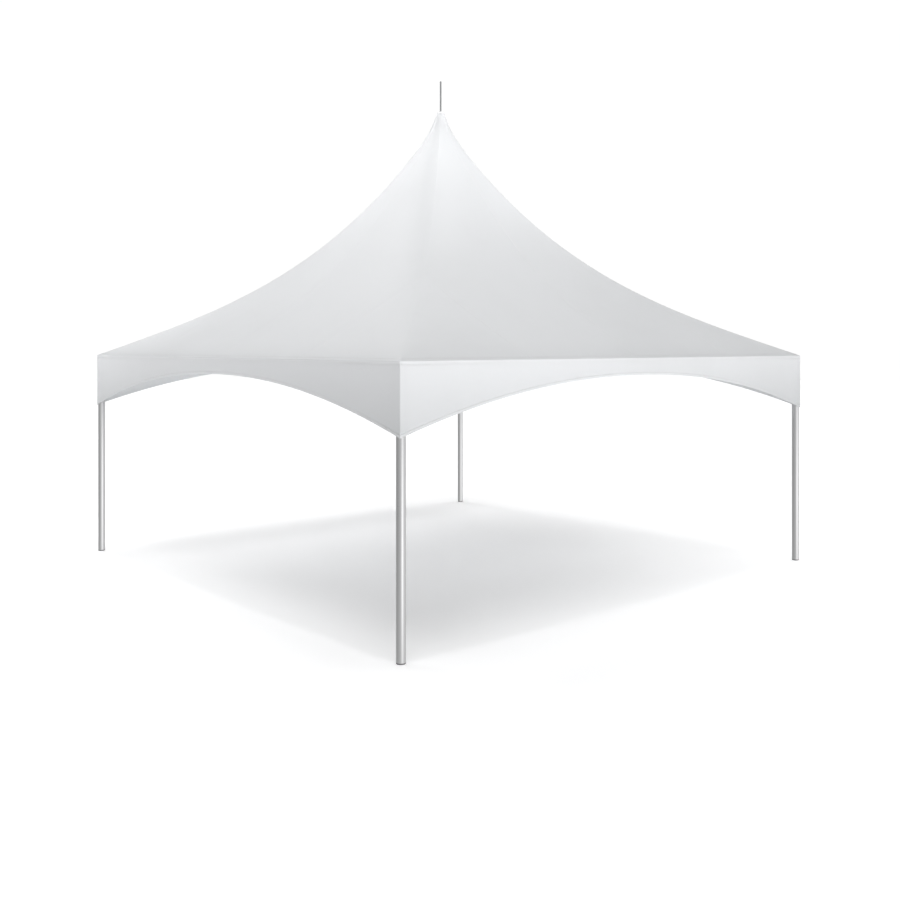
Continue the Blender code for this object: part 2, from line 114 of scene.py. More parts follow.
ahead = Vector((math.sin(CAMERA_TURN), math.cos(CAMERA_TURN), 0))
aside = Vector((math.cos(CAMERA_TURN), -math.sin(CAMERA_TURN), 0))
camera_data = bpy.data.cameras.new("camera")
camera = bpy.data.objects.new("camera", camera_data)
bpy.context.scene.collection.objects.link(camera)
camera.location = CAMERA_ASIDE * aside - CAMERA_DISTANCE * ahead + Vector((0, 0, CAMERA_HEIGHT))
camera.rotation_euler = (math.radians(90), 0, -CAMERA_TURN)
camera_data.sensor_width = 36
camera_data.lens = FOCAL_PIXELS / PICTURE * camera_data.sensor_width
camera_data.shift_y = HORIZON_ROW / PICTURE - 0.5
bpy.context.scene.camera = camera
print("camera at", [round(x, 2) for x in camera.location], "lens", round(camera_data.lens, 1), "mm")

# %% [markdown]
# ## Writing node trees as formulas
#
# Both the shapes and the finishes below are node trees. A node tree is long to write by hand, so a
# small class stands for one value in a tree, and Python's own `+ - * / **` add the Math nodes.
# A formula then reads in the script as it would on paper.

# %% A value in a node tree
class Field:
    """One value in a node tree, on which arithmetic adds Math nodes."""

    def __init__(self, socket):
        self.socket = socket
        self.tree = socket.id_data

    def maths(self, operation, *others):
        """The result of a Math node with this value first."""
        made = add_node(self.tree, "ShaderNodeMath", operation=operation)
        for place, value in enumerate((self, *others)):
            feed(made.inputs[place], value)
        return Field(made.outputs[0])

    def vector(self, operation, other):
        """The result of a Vector Math node with this vector first."""
        made = add_node(self.tree, "ShaderNodeVectorMath", operation=operation)
        feed(made.inputs[0], self)
        feed(made.inputs["Scale" if operation == "SCALE" else 1], other)
        return Field(made.outputs["Value" if operation == "DOT_PRODUCT" else "Vector"])

    __add__ = partialmethod(maths, "ADD")
    __sub__ = partialmethod(maths, "SUBTRACT")
    __mul__ = partialmethod(maths, "MULTIPLY")
    __truediv__ = partialmethod(maths, "DIVIDE")
    __pow__ = partialmethod(maths, "POWER")

    def under(self, number):
        """A plain number, less this value."""
        return self * -1 + number

    def within(self, low, high):
        """This value, kept between two numbers."""
        return self.maths("MAXIMUM", low).maths("MINIMUM", high)

    def humps(self):
        """A row of round humps: the value's sine without its sign."""
        return self.maths("SINE").maths("ABSOLUTE")


def feed(slot, value):
    """Link a value into a socket, or set the socket to a plain number."""
    if isinstance(value, Field):
        slot.id_data.links.new(value.socket, slot)
    else:
        slot.default_value = value


def add_node(tree, kind, inputs=None, **options):
    """A node with its options set and its sockets fed by name."""
    made = tree.nodes.new(kind)
    for option, value in options.items():
        setattr(made, option, value)
    for name, value in (inputs or {}).items():
        feed(next(slot for slot in made.inputs if slot.name == name and slot.enabled), value)
    return made


def value_of(tree, kind, inputs=None, output=0, **options):
    """One output of a new node, the first unless another is named."""
    return Field(add_node(tree, kind, inputs, **options).outputs[output])


def vector_of(tree, x=0.0, y=0.0, z=0.0):
    """A vector from three values."""
    return value_of(tree, "ShaderNodeCombineXYZ", {"X": x, "Y": y, "Z": z})


def parts_of(vector):
    """The three values of a vector."""
    made = add_node(vector.tree, "ShaderNodeSeparateXYZ", {"Vector": vector})
    return [Field(socket) for socket in made.outputs]


def new_tree(name, kind, given, results):
    """A node group: its tree, its named inputs as values, and its output node."""
    tree = bpy.data.node_groups.new(name, kind)
    for label, value in given.items():
        typed = value if isinstance(value, str) else {float: "Float", int: "Int"}[type(value)]
        socket = tree.interface.new_socket(label, in_out="INPUT", socket_type="NodeSocket" + typed)
        if typed != value:
            socket.default_value = value
    for label, typed in results.items():
        tree.interface.new_socket(label, in_out="OUTPUT", socket_type="NodeSocket" + typed)
    inner = tree.nodes.new("NodeGroupInput")
    outer = tree.nodes.new("NodeGroupOutput")
    return tree, {label: Field(inner.outputs[label]) for label in given}, outer


print("helpers for node trees are ready")

# %% [markdown]
# ## Finishes
#
# ### Effects that several finishes share
#
# Coated tent cloth shows the square net of yarns inside it as a very fine relief, a millimetre
# across. Drawn tube carries fine lines along its length. Both are drawn from a map in real metres.
# Every outdoor surface also has a little uneven dirt, and the cloth turns grey towards the eave
# and the valance's edge: partly settled dust, partly painted shade. Each of these is a node group,
# built once and set anew in each finish.

# %% Shader groups on a map in metres
def own_map(tree):
    """The two directions of a piece's own map, in metres."""
    return parts_of(value_of(tree, "ShaderNodeUVMap", output="UV", uv_map="UVMap"))[:2]


def noise(tree, vector, scale, detail, roughness=0.5):
    """A cloudy noise from 0 to 1."""
    return value_of(tree, "ShaderNodeTexNoise", {"Vector": vector, "Scale": scale,
                                                 "Detail": detail, "Roughness": roughness})


def cloth_net_group():
    """Relief of a square net of yarns."""
    tree, given, outer = new_tree("cloth_net", "ShaderNodeTree", {"Pitch": 1.1 * MM},
                                  {"Height": "Float"})
    across, up = own_map(tree)
    turns = (given["Pitch"] / math.pi) ** -1
    feed(outer.inputs["Height"], ((across * turns).humps() + (up * turns).humps()) * 0.5)
    return tree


def drawn_lines_group():
    """Fine lines along the length of a tube."""
    tree, given, outer = new_tree("drawn_lines", "ShaderNodeTree",
                                  {"Across": 900.0, "Along": 1.5}, {"Lines": "Float"})
    around, along = own_map(tree)
    drawn = vector_of(tree, around * given["Across"], along * given["Along"])
    feed(outer.inputs["Lines"], noise(tree, drawn, 1.0, 4.0))
    return tree


CLOTH_NET = cloth_net_group()
DRAWN_LINES = drawn_lines_group()
print("groups", CLOTH_NET.name, DRAWN_LINES.name)

# %% Shader groups for dirt, and for dust with painted shade
def weathering_group():
    """Soft uneven dirt: a broad cloudy part and a fine speckled part."""
    tree, given, outer = new_tree(
        "weathering", "ShaderNodeTree", {"Broad": 0.8, "Fine": 40.0, "Stretch": 1.0},
        {"Dirt": "Float", "Speckle": "Float"})
    spot = value_of(tree, "ShaderNodeTexCoord", output="Object")
    x, y, z = parts_of(spot)
    drawn = vector_of(tree, x, y, z * given["Stretch"])
    feed(outer.inputs["Dirt"], noise(tree, drawn, given["Broad"], 5.0, 0.6))
    feed(outer.inputs["Speckle"], noise(tree, spot, given["Fine"], 3.0))
    return tree


# The grey by height that this gives the cloth is part settled dust and part painted shade.
def dust_and_shade_ramp_group():
    """A share that grows from nothing at one height to all of it at another."""
    tree, given, outer = new_tree("settled_dust", "ShaderNodeTree",
                                  {"Clean At": 1.0, "Full At": 0.0}, {"Share": "Float"})
    height = parts_of(value_of(tree, "ShaderNodeTexCoord", output="Object"))[2]
    depth = (given["Clean At"] - height) / (given["Clean At"] - given["Full At"])
    feed(outer.inputs["Share"], depth.within(0.0, 1.0))
    return tree


WEATHERING = weathering_group()
DUST_AND_SHADE_RAMP = dust_and_shade_ramp_group()
print("groups", WEATHERING.name, DUST_AND_SHADE_RAMP.name)

# %% [markdown]
# ### The finishes themselves
#
# A finish is a Principled shader whose colour, roughness and relief come from those groups. White
# tent cloth lets some light through, so its shader is mixed with a translucent one: seen from
# inside, the roof glows.

# %% Helpers for finishes
def new_finish(name, broad, fine, stretch=1.0, metallic=0.0):
    """A material, its tree and Principled shader, and the dirt and speckle on it."""
    material = bpy.data.materials.new(name)
    material.use_nodes = True
    tree = material.node_tree
    shader = tree.nodes["Principled BSDF"]
    shader.inputs["Metallic"].default_value = metallic
    age = add_node(tree, "ShaderNodeGroup", {"Broad": broad, "Fine": fine, "Stretch": stretch},
                   node_tree=WEATHERING)
    return material, tree, shader, Field(age.outputs["Dirt"]), Field(age.outputs["Speckle"])


def between(mask, first, second):
    """A colour that runs from the first to the second as the mask runs from 0 to 1."""
    made = add_node(mask.tree, "ShaderNodeMix", data_type="RGBA", clamp_factor=True)
    feed(made.inputs["Factor"], mask)
    for place, colour in ((6, first), (7, second)):
        feed(made.inputs[place], (*colour, 1.0) if isinstance(colour, tuple) else colour)
    return Field(made.outputs[2])


def paint(shader, colour, roughness, height=None, depth=0.0):
    """Feed a shader its colour and roughness, and a relief whose full height is so deep."""
    feed(shader.inputs["Base Color"], colour)
    feed(shader.inputs["Roughness"], roughness)
    if height:
        feed(shader.inputs["Normal"], value_of(shader.id_data, "ShaderNodeBump", {
            "Height": height, "Distance": depth, "Strength": 1.0}))


def mix_shaders(tree, share, first, second):
    """The first shader, with a share of the second."""
    made = add_node(tree, "ShaderNodeMixShader")
    for place, value in enumerate((share, first, second)):
        feed(made.inputs[place], value)
    return Field(made.outputs[0])


print("finish helpers are ready")

# %% White coated cloth
CLEAN, SOILED = (0.877, 0.888, 0.902), (0.838, 0.848, 0.857)
# Grey of settled dust and of painted shade, towards the eave and the valance's edge.
DUST_AND_SHADE_GREY = (0.61, 0.62, 0.63)
LIT_THROUGH = (0.82, 0.83, 0.84)     # colour of the light that comes through the cloth


def coated_cloth(name, see_through, dust_and_shade_layers):
    """Satin white cloth with its net of yarns, a trace of dirt, a grey by height that is part dust
    and part painted shade, and some light through it.
    """
    material, tree, shader, dirt, speckle = new_finish(name, 0.55, 26.0, 0.25)
    colour = between((dirt - 0.45) * 2.2 + (speckle - 0.5) * 0.3, CLEAN, SOILED)
    # Each layer greys the cloth by height: part settled dust, part painted shade.
    for clean_at, full_at, most in dust_and_shade_layers:
        dust_and_shade_share = value_of(tree, "ShaderNodeGroup", {"Clean At": clean_at, "Full At": full_at},
                        node_tree=DUST_AND_SHADE_RAMP)
        colour = between(dust_and_shade_share * most * (dirt * 0.6 + 0.7), colour, DUST_AND_SHADE_GREY)
    net = value_of(tree, "ShaderNodeGroup", node_tree=CLOTH_NET)
    paint(shader, colour, dirt * 0.16 + 0.42, net, 0.04 * MM)
    through = value_of(tree, "ShaderNodeBsdfTranslucent", {"Color": (*LIT_THROUGH, 1.0)})
    feed(tree.nodes["Material Output"].inputs["Surface"],
         mix_shaders(tree, see_through, Field(shader.outputs[0]), through))
    return material


# Each layer of dust and painted shade: clean up to this height, fullest at that one, and how much
# of it there is.
# The roof darkens towards the eave: part dust, part painted shade on its low slopes.
ROOF_DUST_AND_SHADE = ((4.15, EAVE_HEIGHT, 0.44), (EAVE_HEIGHT + 0.16, EAVE_HEIGHT, 0.16))
# The valance darkens towards its arched edge: part dust, part painted shade.
VALANCE_DUST_AND_SHADE = ((EAVE_HEIGHT - 0.08, VALANCE_LOW, 0.68),)
# The binding is grey above the crease and white below it: part dust, part painted shade that
# matches the roof's eave.
BINDING_DUST_AND_SHADE = ((EAVE_HEIGHT - 4 * MM, EAVE_HEIGHT + 1 * MM, 0.55),)
ONE_LAYER, TWO_LAYERS = 0.16, 0.08   # share of the light that comes through
ROOF_WHITE = coated_cloth("roof_cloth_white", ONE_LAYER, ROOF_DUST_AND_SHADE)
SEAM_WHITE = coated_cloth("seam_white", TWO_LAYERS, ROOF_DUST_AND_SHADE)
VALANCE_WHITE = coated_cloth("valance_cloth_white", ONE_LAYER, VALANCE_DUST_AND_SHADE)
HEM_WHITE = coated_cloth("hem_white", TWO_LAYERS, VALANCE_DUST_AND_SHADE)
BINDING_WHITE = coated_cloth("binding_white", TWO_LAYERS, BINDING_DUST_AND_SHADE)
print("cloth finishes", ROOF_WHITE.name, VALANCE_WHITE.name, "and their seams, hem and binding")

# %% Webbing and thread
RIB_PITCH, ROW_PITCH = 1.6 * MM, 2.4 * MM


def webbing_finish():
    """Woven polyester webbing with ribs across it."""
    material, tree, shader, dirt, _ = new_finish("white_webbing", 6.0, 160.0)
    across, along = own_map(tree)
    weave = (along * (math.pi / RIB_PITCH)).humps() * (across * (math.pi / ROW_PITCH)).humps()
    colour = between(weave * 0.6 + dirt * 0.4, (0.62, 0.62, 0.61), (0.83, 0.83, 0.82))
    paint(shader, colour, dirt * 0.2 + 0.66, weave, 0.25 * MM)
    return material


def thread_finish():
    """Sewing thread, a little shinier than the cloth."""
    material, tree, shader, _, speckle = new_finish("white_thread", 3.0, 900.0)
    paint(shader, between(speckle, (0.74, 0.74, 0.73), (0.90, 0.90, 0.89)), speckle * 0.2 + 0.42)
    return material


WEBBING = webbing_finish()
THREAD = thread_finish()
print("webbing and thread finishes", WEBBING.name, THREAD.name)

# %% Drawn aluminium tube and galvanised steel
def drawn_tube_finish():
    """Mill finished aluminium: fine lines along the tube and faint handling marks."""
    material, tree, shader, dirt, speckle = new_finish("drawn_aluminium", 2.2, 75.0, 0.4, 1.0)
    lines = value_of(tree, "ShaderNodeGroup", node_tree=DRAWN_LINES)
    colour = between(dirt * 0.7 + lines * 0.3, (0.66, 0.665, 0.67), (0.77, 0.773, 0.775))
    rough = lines * 0.10 + dirt * 0.08 + speckle * 0.04 + 0.19
    paint(shader, colour, rough, lines, 0.02 * MM)
    return material


def zinc_finish():
    """Hot dip zinc, whose crystals show as pale and dark patches."""
    material, tree, shader, dirt, _ = new_finish("galvanised_zinc", 12.0, 320.0, metallic=1.0)
    spot = value_of(tree, "ShaderNodeTexCoord", output="Object")
    crystals = value_of(tree, "ShaderNodeTexVoronoi", {"Vector": spot, "Scale": 210.0}, "Color")
    patch = parts_of(crystals)[0]
    colour = between(patch * 0.6 + dirt * 0.4, (0.46, 0.47, 0.49), (0.66, 0.67, 0.68))
    paint(shader, colour, patch * 0.18 + dirt * 0.14 + 0.24, patch + dirt, 0.03 * MM)
    return material


DRAWN_ALUMINIUM = drawn_tube_finish()
ZINC = zinc_finish()
print("metal finishes", DRAWN_ALUMINIUM.name, ZINC.name)

# %% Grained finishes: castings, wire, rubber, the cap and the pin
# The broad scale of the dirt, then how dirt, speckle and a plain number make up the colour's mask
# and the roughness.
METAL_WEAR = (9.0, (0.8, 0.9, -0.35), (0.2, 0.15, -0.17))
MOULDED_WEAR = (14.0, (1.4, 0.1, -0.2), (0.18, 0.1, -0.14))


def grained_finish(name, wear, dark, light, roughness, grain, depth, metallic=0.0):
    """A cast, moulded or painted surface with a fine grain of its own and some scuffing."""
    broad, *mixes = wear
    material, tree, shader, dirt, speckle = new_finish(name, broad, grain, metallic=metallic)
    mask, scuffs = [dirt * much + speckle * little + more for much, little, more in mixes]
    paint(shader, between(mask, dark, light), scuffs + roughness, speckle, depth)
    return material


CAST_ALUMINIUM = grained_finish("sand_cast_aluminium", METAL_WEAR, (0.50, 0.505, 0.51),
                                (0.68, 0.685, 0.69), 0.48, 420.0, 0.25 * MM, 1.0)
WIRE_STEEL = grained_finish("wire_rope_steel", METAL_WEAR, (0.40, 0.405, 0.41),
                            (0.64, 0.645, 0.65), 0.36, 900.0, 0.05 * MM, 1.0)
FOOT_RUBBER = grained_finish("foot_rubber", MOULDED_WEAR, (0.13, 0.13, 0.135),
                             (0.24, 0.24, 0.235), 0.72, 700.0, 0.12 * MM)
CAP_WHITE = grained_finish("cap_white", MOULDED_WEAR, (0.84, 0.842, 0.85),
                           (0.89, 0.892, 0.90), 0.42, 500.0, 0.04 * MM)
PIN_GREY = grained_finish("pin_grey_paint", MOULDED_WEAR, (0.235, 0.24, 0.245),
                          (0.30, 0.305, 0.31), 0.45, 600.0, 0.03 * MM, 0.25)
print("grained finishes", CAST_ALUMINIUM.name, WIRE_STEEL.name, FOOT_RUBBER.name, CAP_WHITE.name,
      PIN_GREY.name)

# %% [markdown]
# ## Making pieces
#
# Three small tools make most of the hardware. `turned` spins a profile into a solid, with a map in
# metres so that drawn lines run along it. `grown` runs a Geometry Nodes tree and keeps the result
# as a plain mesh. `keep_piece` puts a finished mesh in the scene, tied to the tent.

# %% Meshes and finished pieces
def mesh_of(name, shape):
    """A plain mesh from a bmesh, which is then freed."""
    mesh = bpy.data.meshes.new(name)
    shape.to_mesh(mesh)
    shape.free()
    return mesh


def joined(name, meshes):
    """One mesh that holds several."""
    whole = bmesh.new()
    for mesh in meshes:
        whole.from_mesh(mesh)
    return mesh_of(name, whole)


def smoothed(mesh, degrees):
    """The mesh shaded smooth, but for edges that bend by more than so many degrees."""
    mesh.shade_smooth()
    mesh.set_sharp_from_angle(angle=math.radians(degrees))
    return mesh


def moved(mesh, matrix):
    """The mesh itself, moved."""
    mesh.transform(matrix)
    return mesh


def about_z(degrees):
    """A turn about the tent's axis."""
    return Matrix.Rotation(math.radians(degrees), 4, "Z")


def triangles(mesh):
    """How many triangles a mesh has."""
    return sum(len(face.vertices) - 2 for face in mesh.polygons)


def keep_piece(name, mesh, finish, replaces=()):
    """A finished piece at the origin, with its place in its mesh."""
    mesh.name = name
    mesh.materials.clear()
    mesh.materials.append(finish)
    piece = bpy.data.objects.new(name, mesh)
    bpy.context.scene.collection.objects.link(piece)
    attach(piece, "root")
    if replaces:
        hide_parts(*replaces)
    print(name + ":", triangles(mesh), "triangles")
    return piece


def keep_four(name, mesh, finish, node, places=CORNERS, start=Matrix()):
    """Four of a piece that is made for the front or the front left corner, one at each place."""
    for index, place in enumerate(places):
        placed = moved(mesh.copy(), about_z(90 * index) @ start)
        keep_piece(name + "_" + place, placed, finish, [node + "_" + place])


print("piece helpers are ready")

# %% Turn a profile about an axis
ON_AXIS = 1e-7                # a smaller radius than this is one point


def softened(profile, radius, steps=2):
    """A profile whose inner points are rounded off."""
    result = [profile[0]]
    for before, point, after in zip(profile, profile[1:], profile[2:]):
        here = Vector(point)
        back, onward = Vector(before) - here, Vector(after) - here
        reach = min(radius, 0.45 * back.length, 0.45 * onward.length)
        start, end = here + back.normalized() * reach, here + onward.normalized() * reach
        for step in range(steps + 1):
            share = step / steps
            result.append(tuple(start.lerp(here, share).lerp(here.lerp(end, share), share)))
    result.append(profile[-1])
    return result


def turned(name, profile, steps=48, sharp=40):
    """A solid from (radius, height) points that run down its outer side, mapped in metres."""
    shape = bmesh.new()
    chart = shape.loops.layers.uv.new("UVMap")
    round_it = 2 * math.pi * max(radius for radius, _ in profile)
    lengths = [0.0]
    for (r0, z0), (r1, z1) in zip(profile, profile[1:]):
        lengths.append(lengths[-1] + math.hypot(r1 - r0, z1 - z0))
    rings = []
    for radius, height in profile:
        if radius < ON_AXIS:
            rings.append([shape.verts.new((0, 0, height))] * (steps + 1))
            continue
        ring = []
        for step in range(steps):
            turn = 2 * math.pi * step / steps
            ring.append(shape.verts.new((radius * math.cos(turn), radius * math.sin(turn), height)))
        rings.append(ring + ring[:1])
    for row in range(len(rings) - 1):
        for step in range(steps):
            # Where a ring is one point on the axis, two of the four corners are the same.
            corners = {}
            for down, on in ((0, 0), (1, 0), (1, 1), (0, 1)):
                line, column = row + down, step + on
                corners.setdefault(rings[line][column], (column, line))
            if len(corners) > 2:
                face = shape.faces.new(list(corners))
                for loop, (column, line) in zip(face.loops, corners.values()):
                    loop[chart].uv = (round_it * column / steps, lengths[line])
    if profile[0] == profile[-1]:
        bmesh.ops.remove_doubles(shape, verts=shape.verts, dist=1e-6)
    return smoothed(mesh_of(name, shape), sharp)


def along_x(mesh):
    """A turned mesh laid over so that its axis runs along +X."""
    return moved(mesh, Matrix.Rotation(math.radians(90), 4, "Y"))


trial = turned("trial", [(0, 1), (1, 1), (1, 0), (0, 0)], 12)
print("a turned cylinder of 12 sides has", triangles(trial), "triangles")
bpy.data.meshes.remove(trial)

# %% Run modifiers and Geometry Nodes trees
def settled(name, data, modifiers):
    """A plain mesh after modifiers: each is its kind, its options and its tree's inputs."""
    source = bpy.data.objects.new(name, data)
    bpy.context.scene.collection.objects.link(source)
    for kind, options, *inputs in modifiers:
        modifier = source.modifiers.new(kind.lower(), kind)
        for option, value in options.items():
            setattr(modifier, option, value)
        for identifier, value in inputs:
            modifier[identifier] = value
    bpy.context.view_layer.update()
    graph = bpy.context.evaluated_depsgraph_get()
    mesh = bpy.data.meshes.new_from_object(source.evaluated_get(graph), depsgraph=graph)
    mesh.name = name
    bpy.data.objects.remove(source, do_unlink=True)
    return mesh


def grown(name, tree, finish, start=None, sizes=None, solidify=None):
    """A plain mesh from a tree that is run on a mesh, given some thickness if asked."""
    wanted = dict(sizes or {}, Finish=finish)
    inputs = [(item.identifier, wanted[item.name]) for item in tree.interface.items_tree
              if item.in_out == "INPUT" and item.name in wanted]
    later = [("SOLIDIFY", solidify)] if solidify else []
    return settled(name, start or bpy.data.meshes.new(name),
                   [("NODES", {"node_group": tree}, *inputs), *later])


def shape_tree(name, sizes):
    """A Geometry Nodes tree with a geometry, named sizes and a finish as its inputs."""
    given = {"Geometry": "Geometry", **sizes, "Finish": "Material"}
    return new_tree(name, "GeometryNodeTree", given, {"Geometry": "Geometry"})


def end_tree(given, outer, geometry):
    """Close a tree: realise its instances, shade it smooth and set its finish."""
    tree = geometry.tree
    real = value_of(tree, "GeometryNodeRealizeInstances", {"Geometry": geometry})
    smooth = value_of(tree, "GeometryNodeSetShadeSmooth", {"Geometry": real})
    feed(outer.inputs["Geometry"], value_of(tree, "GeometryNodeSetMaterial", {
        "Geometry": smooth, "Material": given["Finish"]}))
    return tree


def index_in(tree):
    """The number of each point."""
    return value_of(tree, "GeometryNodeInputIndex")


def copies(geometry, count, place=(0.0, 0.0, 0.0), turn=(0.0, 0.0, 0.0)):
    """So many copies of a geometry, each in its place and at its turn."""
    tree = geometry.tree
    points = value_of(tree, "GeometryNodePoints", {"Count": count, "Position": place})
    spin = value_of(tree, "FunctionNodeEulerToRotation", {"Euler": turn})
    return value_of(tree, "GeometryNodeInstanceOnPoints",
                    {"Points": points, "Instance": geometry, "Rotation": spin})


def on_four_sides(geometry):
    """The geometry at the front, turned to the other three sides as well."""
    tree = geometry.tree
    return copies(geometry, 4, turn=vector_of(tree, 0.0, 0.0, index_in(tree) * (math.pi / 2)))


print("tree helpers are ready")

# %% [markdown]
# ## The roof
#
# A tensioned roof has no flat panels. At the eave its plan is a square, at the mast head it is
# round, and in between it is a superellipse that grows softer as it climbs. Its hip rises as a
# straight slope with a late upward sweep, which gives the drawn-up peak.
#
# Both rules are formulas, so the roof is a grid bent by a Geometry Nodes tree. One group turns
# a pair of numbers into a point of the roof: how far up the hip, and which way round. The same
# group then lays the seams and the eave binding exactly on the cloth.

# %% The rules of the roof, for plain numbers and for values in a tree
def softness_at(part):
    """How soft the roof's plan is at a part of the way up."""
    return part * SOFT_LOW + part ** 4 * SOFT_HIGH


def rise_at(part):
    """How far the hip has risen from the eave, without its last flick."""
    return (part * HIP_STRAIGHT + part ** HIP_POWER * (1 - HIP_STRAIGHT)) * HIP_RISE


def rounding(share):
    """What draws a square's corner in: 1 along the side, less at its end."""
    return (share ** CORNER_POWER + 1) ** (-1 / CORNER_POWER)


def roof_point_group():
    """The point of the roof at a part of the way up and a turn from the front."""
    tree, given, outer = new_tree(
        "roof_point", "GeometryNodeTree",
        {"Part": 0.0, "Turn": 0.0, "Half Side": HALF_SIDE, "Eave Height": EAVE_HEIGHT},
        {"Point": "Vector"})
    part, turn = given["Part"], given["Turn"]
    cosine = turn.maths("COSINE").maths("ABSOLUTE")
    sine = turn.humps()
    near = cosine.maths("MAXIMUM", sine)
    slant = cosine.maths("MINIMUM", sine) / near
    softness = softness_at(part).maths("MAXIMUM", 1e-4)
    swollen = (slant ** (softness ** -1) + 1) ** (softness * -1)
    bulge = swollen * (softness * math.log(2)).maths("EXPONENT")
    radius = part.under(1) * given["Half Side"] * bulge * rounding(slant) / near
    height = given["Eave Height"] + rise_at(part) + part ** TIP_POWER * TIP_RISE
    feed(outer.inputs["Point"],
         vector_of(tree, radius * turn.maths("SINE"), radius * turn.maths("COSINE") * -1, height))
    return tree


ROOF_POINT = roof_point_group()
print("group", ROOF_POINT.name, "has", len(ROOF_POINT.nodes), "nodes")

# %% Helpers for cloth trees
QUARTER = math.pi / 2
SIDE_STEP = 10                # metres between the four sides in the cloth's map
ROW_CROWDING = 1.6            # how much closer the rows lie near the peak


def unit_grid(given):
    """A flat grid, and the two numbers from 0 to 1 that run around and up it."""
    tree = given["Columns"].tree
    grid = value_of(tree, "GeometryNodeMeshGrid", {
        "Size X": 1.0, "Size Y": 1.0, "Vertices X": given["Columns"], "Vertices Y": given["Rows"]})
    x, y, _ = parts_of(value_of(tree, "GeometryNodeInputPosition"))
    return grid, x + 0.5, y + 0.5


def side_and_swing(around):
    """The side that a number from 0 to 1 falls on, and the place from -1 to 1 along it.

    The places are crowded at the side's two ends, where the cloth turns the corner.
    """
    side = (around * 4 + 1e-6).maths("FLOOR")
    return side, ((around * 8 - side * 2 - 1) * QUARTER).maths("SINE")


def crowded_up(up):
    """A number from 0 to 1 with its rows crowded near 1."""
    return (up.under(1) ** ROW_CROWDING).under(1)


def own_side(side):
    """The side of each face, read at its middle so that it doesn't blend over a corner."""
    return value_of(side.tree, "GeometryNodeFieldOnDomain", {"Value": side}, domain="FACE")


def laid(geometry, across, up, point):
    """The geometry mapped in metres, moved point by point to its place, its two ends joined."""
    tree = geometry.tree
    chart = value_of(tree, "GeometryNodeStoreNamedAttribute", {
        "Geometry": geometry, "Name": "UVMap", "Value": vector_of(tree, across, up)},
        data_type="FLOAT2", domain="CORNER")
    bent = value_of(tree, "GeometryNodeSetPosition", {"Geometry": chart, "Position": point})
    return value_of(tree, "GeometryNodeMergeByDistance", {"Geometry": bent, "Distance": 0.01 * MM})


def lifted(geometry, distance):
    """The geometry moved out along its own normals."""
    normal = value_of(geometry.tree, "GeometryNodeInputNormal")
    return value_of(geometry.tree, "GeometryNodeSetPosition",
                    {"Geometry": geometry, "Offset": normal.vector("SCALE", distance)})


def on_roof(part, turn):
    """A point of the roof, by its group."""
    return value_of(turn.tree, "GeometryNodeGroup", {"Part": part, "Turn": turn},
                    node_tree=ROOF_POINT)


print("cloth helpers are ready")

# %% The roof cloth
THIN_CLOTH = {"thickness": CLOTH, "offset": -1.0, "use_even_offset": True}


def roof_cloth_tree():
    """A grid bent round the whole roof, with its columns crowded at the hips."""
    tree, given, outer = shape_tree("roof_cloth", {"Columns": 257, "Rows": 81})
    grid, around, up = unit_grid(given)
    side, swing = side_and_swing(around)
    turn = side * QUARTER + swing * (QUARTER / 2)
    part = crowded_up(up) * ROOF_TOP
    # The map runs along the eave and up the slope of each side.
    face_side = own_side(side)
    along = (turn - face_side * QUARTER).maths("TANGENT") * part.under(1) * HALF_SIDE
    climb = ((part * HALF_SIDE) ** 2 + rise_at(part) ** 2) ** 0.5
    return end_tree(given, outer, laid(grid, along + face_side * SIDE_STEP, climb,
                                       on_roof(part, turn)))


roof_mesh = grown("roof_cloth", roof_cloth_tree(), ROOF_WHITE, solidify=THIN_CLOTH)
roof_cloth = keep_piece("roof_cloth", roof_mesh, ROOF_WHITE,
                        ["roof_panel_" + side for side in SIDES])

# %% [markdown]
# ### Seams
#
# Tent cloth comes about 1.5 m wide, so each side of the roof is four widths side by side, and the
# four sides are welded together along the hips. A weld is a second layer half a millimetre high. It
# is a narrow grid laid on the roof by the same group, once on the front and then on all four sides.

# %% Roof seams
SEAM_WIDTH = 25 * MM
SEAM_LAYER = {"thickness": 0.5 * MM, "offset": 1.0}
SEAM_LIFT = 0.1 * MM
SEAM_START, SEAM_STOP = 0.005, 0.001     # parts of the hip left free at the eave and at the top
SEAM_LENGTH = 4.0                        # about how long a seam is, for its map
CLOTH_WIDTHS = 4                         # widths of cloth on each side of the roof


def roof_seam_tree():
    """One welded seam up the front of the roof, or up its hip, on all four sides."""
    tree, given, outer = shape_tree("roof_seam", {"Columns": 7, "Rows": 121, "Place": 0.0,
                                                  "Lean": 0.0, "Width": SEAM_WIDTH})
    grid, across, up = unit_grid(given)
    end = (given["Place"].maths("ABSOLUTE") * (-1 / HALF_SIDE) + 1).maths("MINIMUM", ROOF_TOP)
    part = crowded_up(up) * (end - (SEAM_START + SEAM_STOP)) + SEAM_START
    reach = part.under(1) * HALF_SIDE
    off = given["Place"] + given["Lean"] * reach + (across - 0.5) * given["Width"]
    seam = laid(grid, across * given["Width"], up * SEAM_LENGTH,
                on_roof(part, off.maths("ARCTAN2", reach)))
    return end_tree(given, outer, on_four_sides(lifted(seam, SEAM_LIFT)))


SEAM_TREE = roof_seam_tree()
seam_sizes = [{"Place": (2 * width / CLOTH_WIDTHS - 1) * HALF_SIDE, "Lean": 0.0}
              for width in range(1, CLOTH_WIDTHS)] + [{"Place": 0.0, "Lean": 1.0}]
seam_meshes = [grown("seam", SEAM_TREE, SEAM_WHITE, sizes=sizes, solidify=SEAM_LAYER)
               for sizes in seam_sizes]
roof_seams = keep_piece("roof_seams", joined("roof_seams", seam_meshes), SEAM_WHITE)

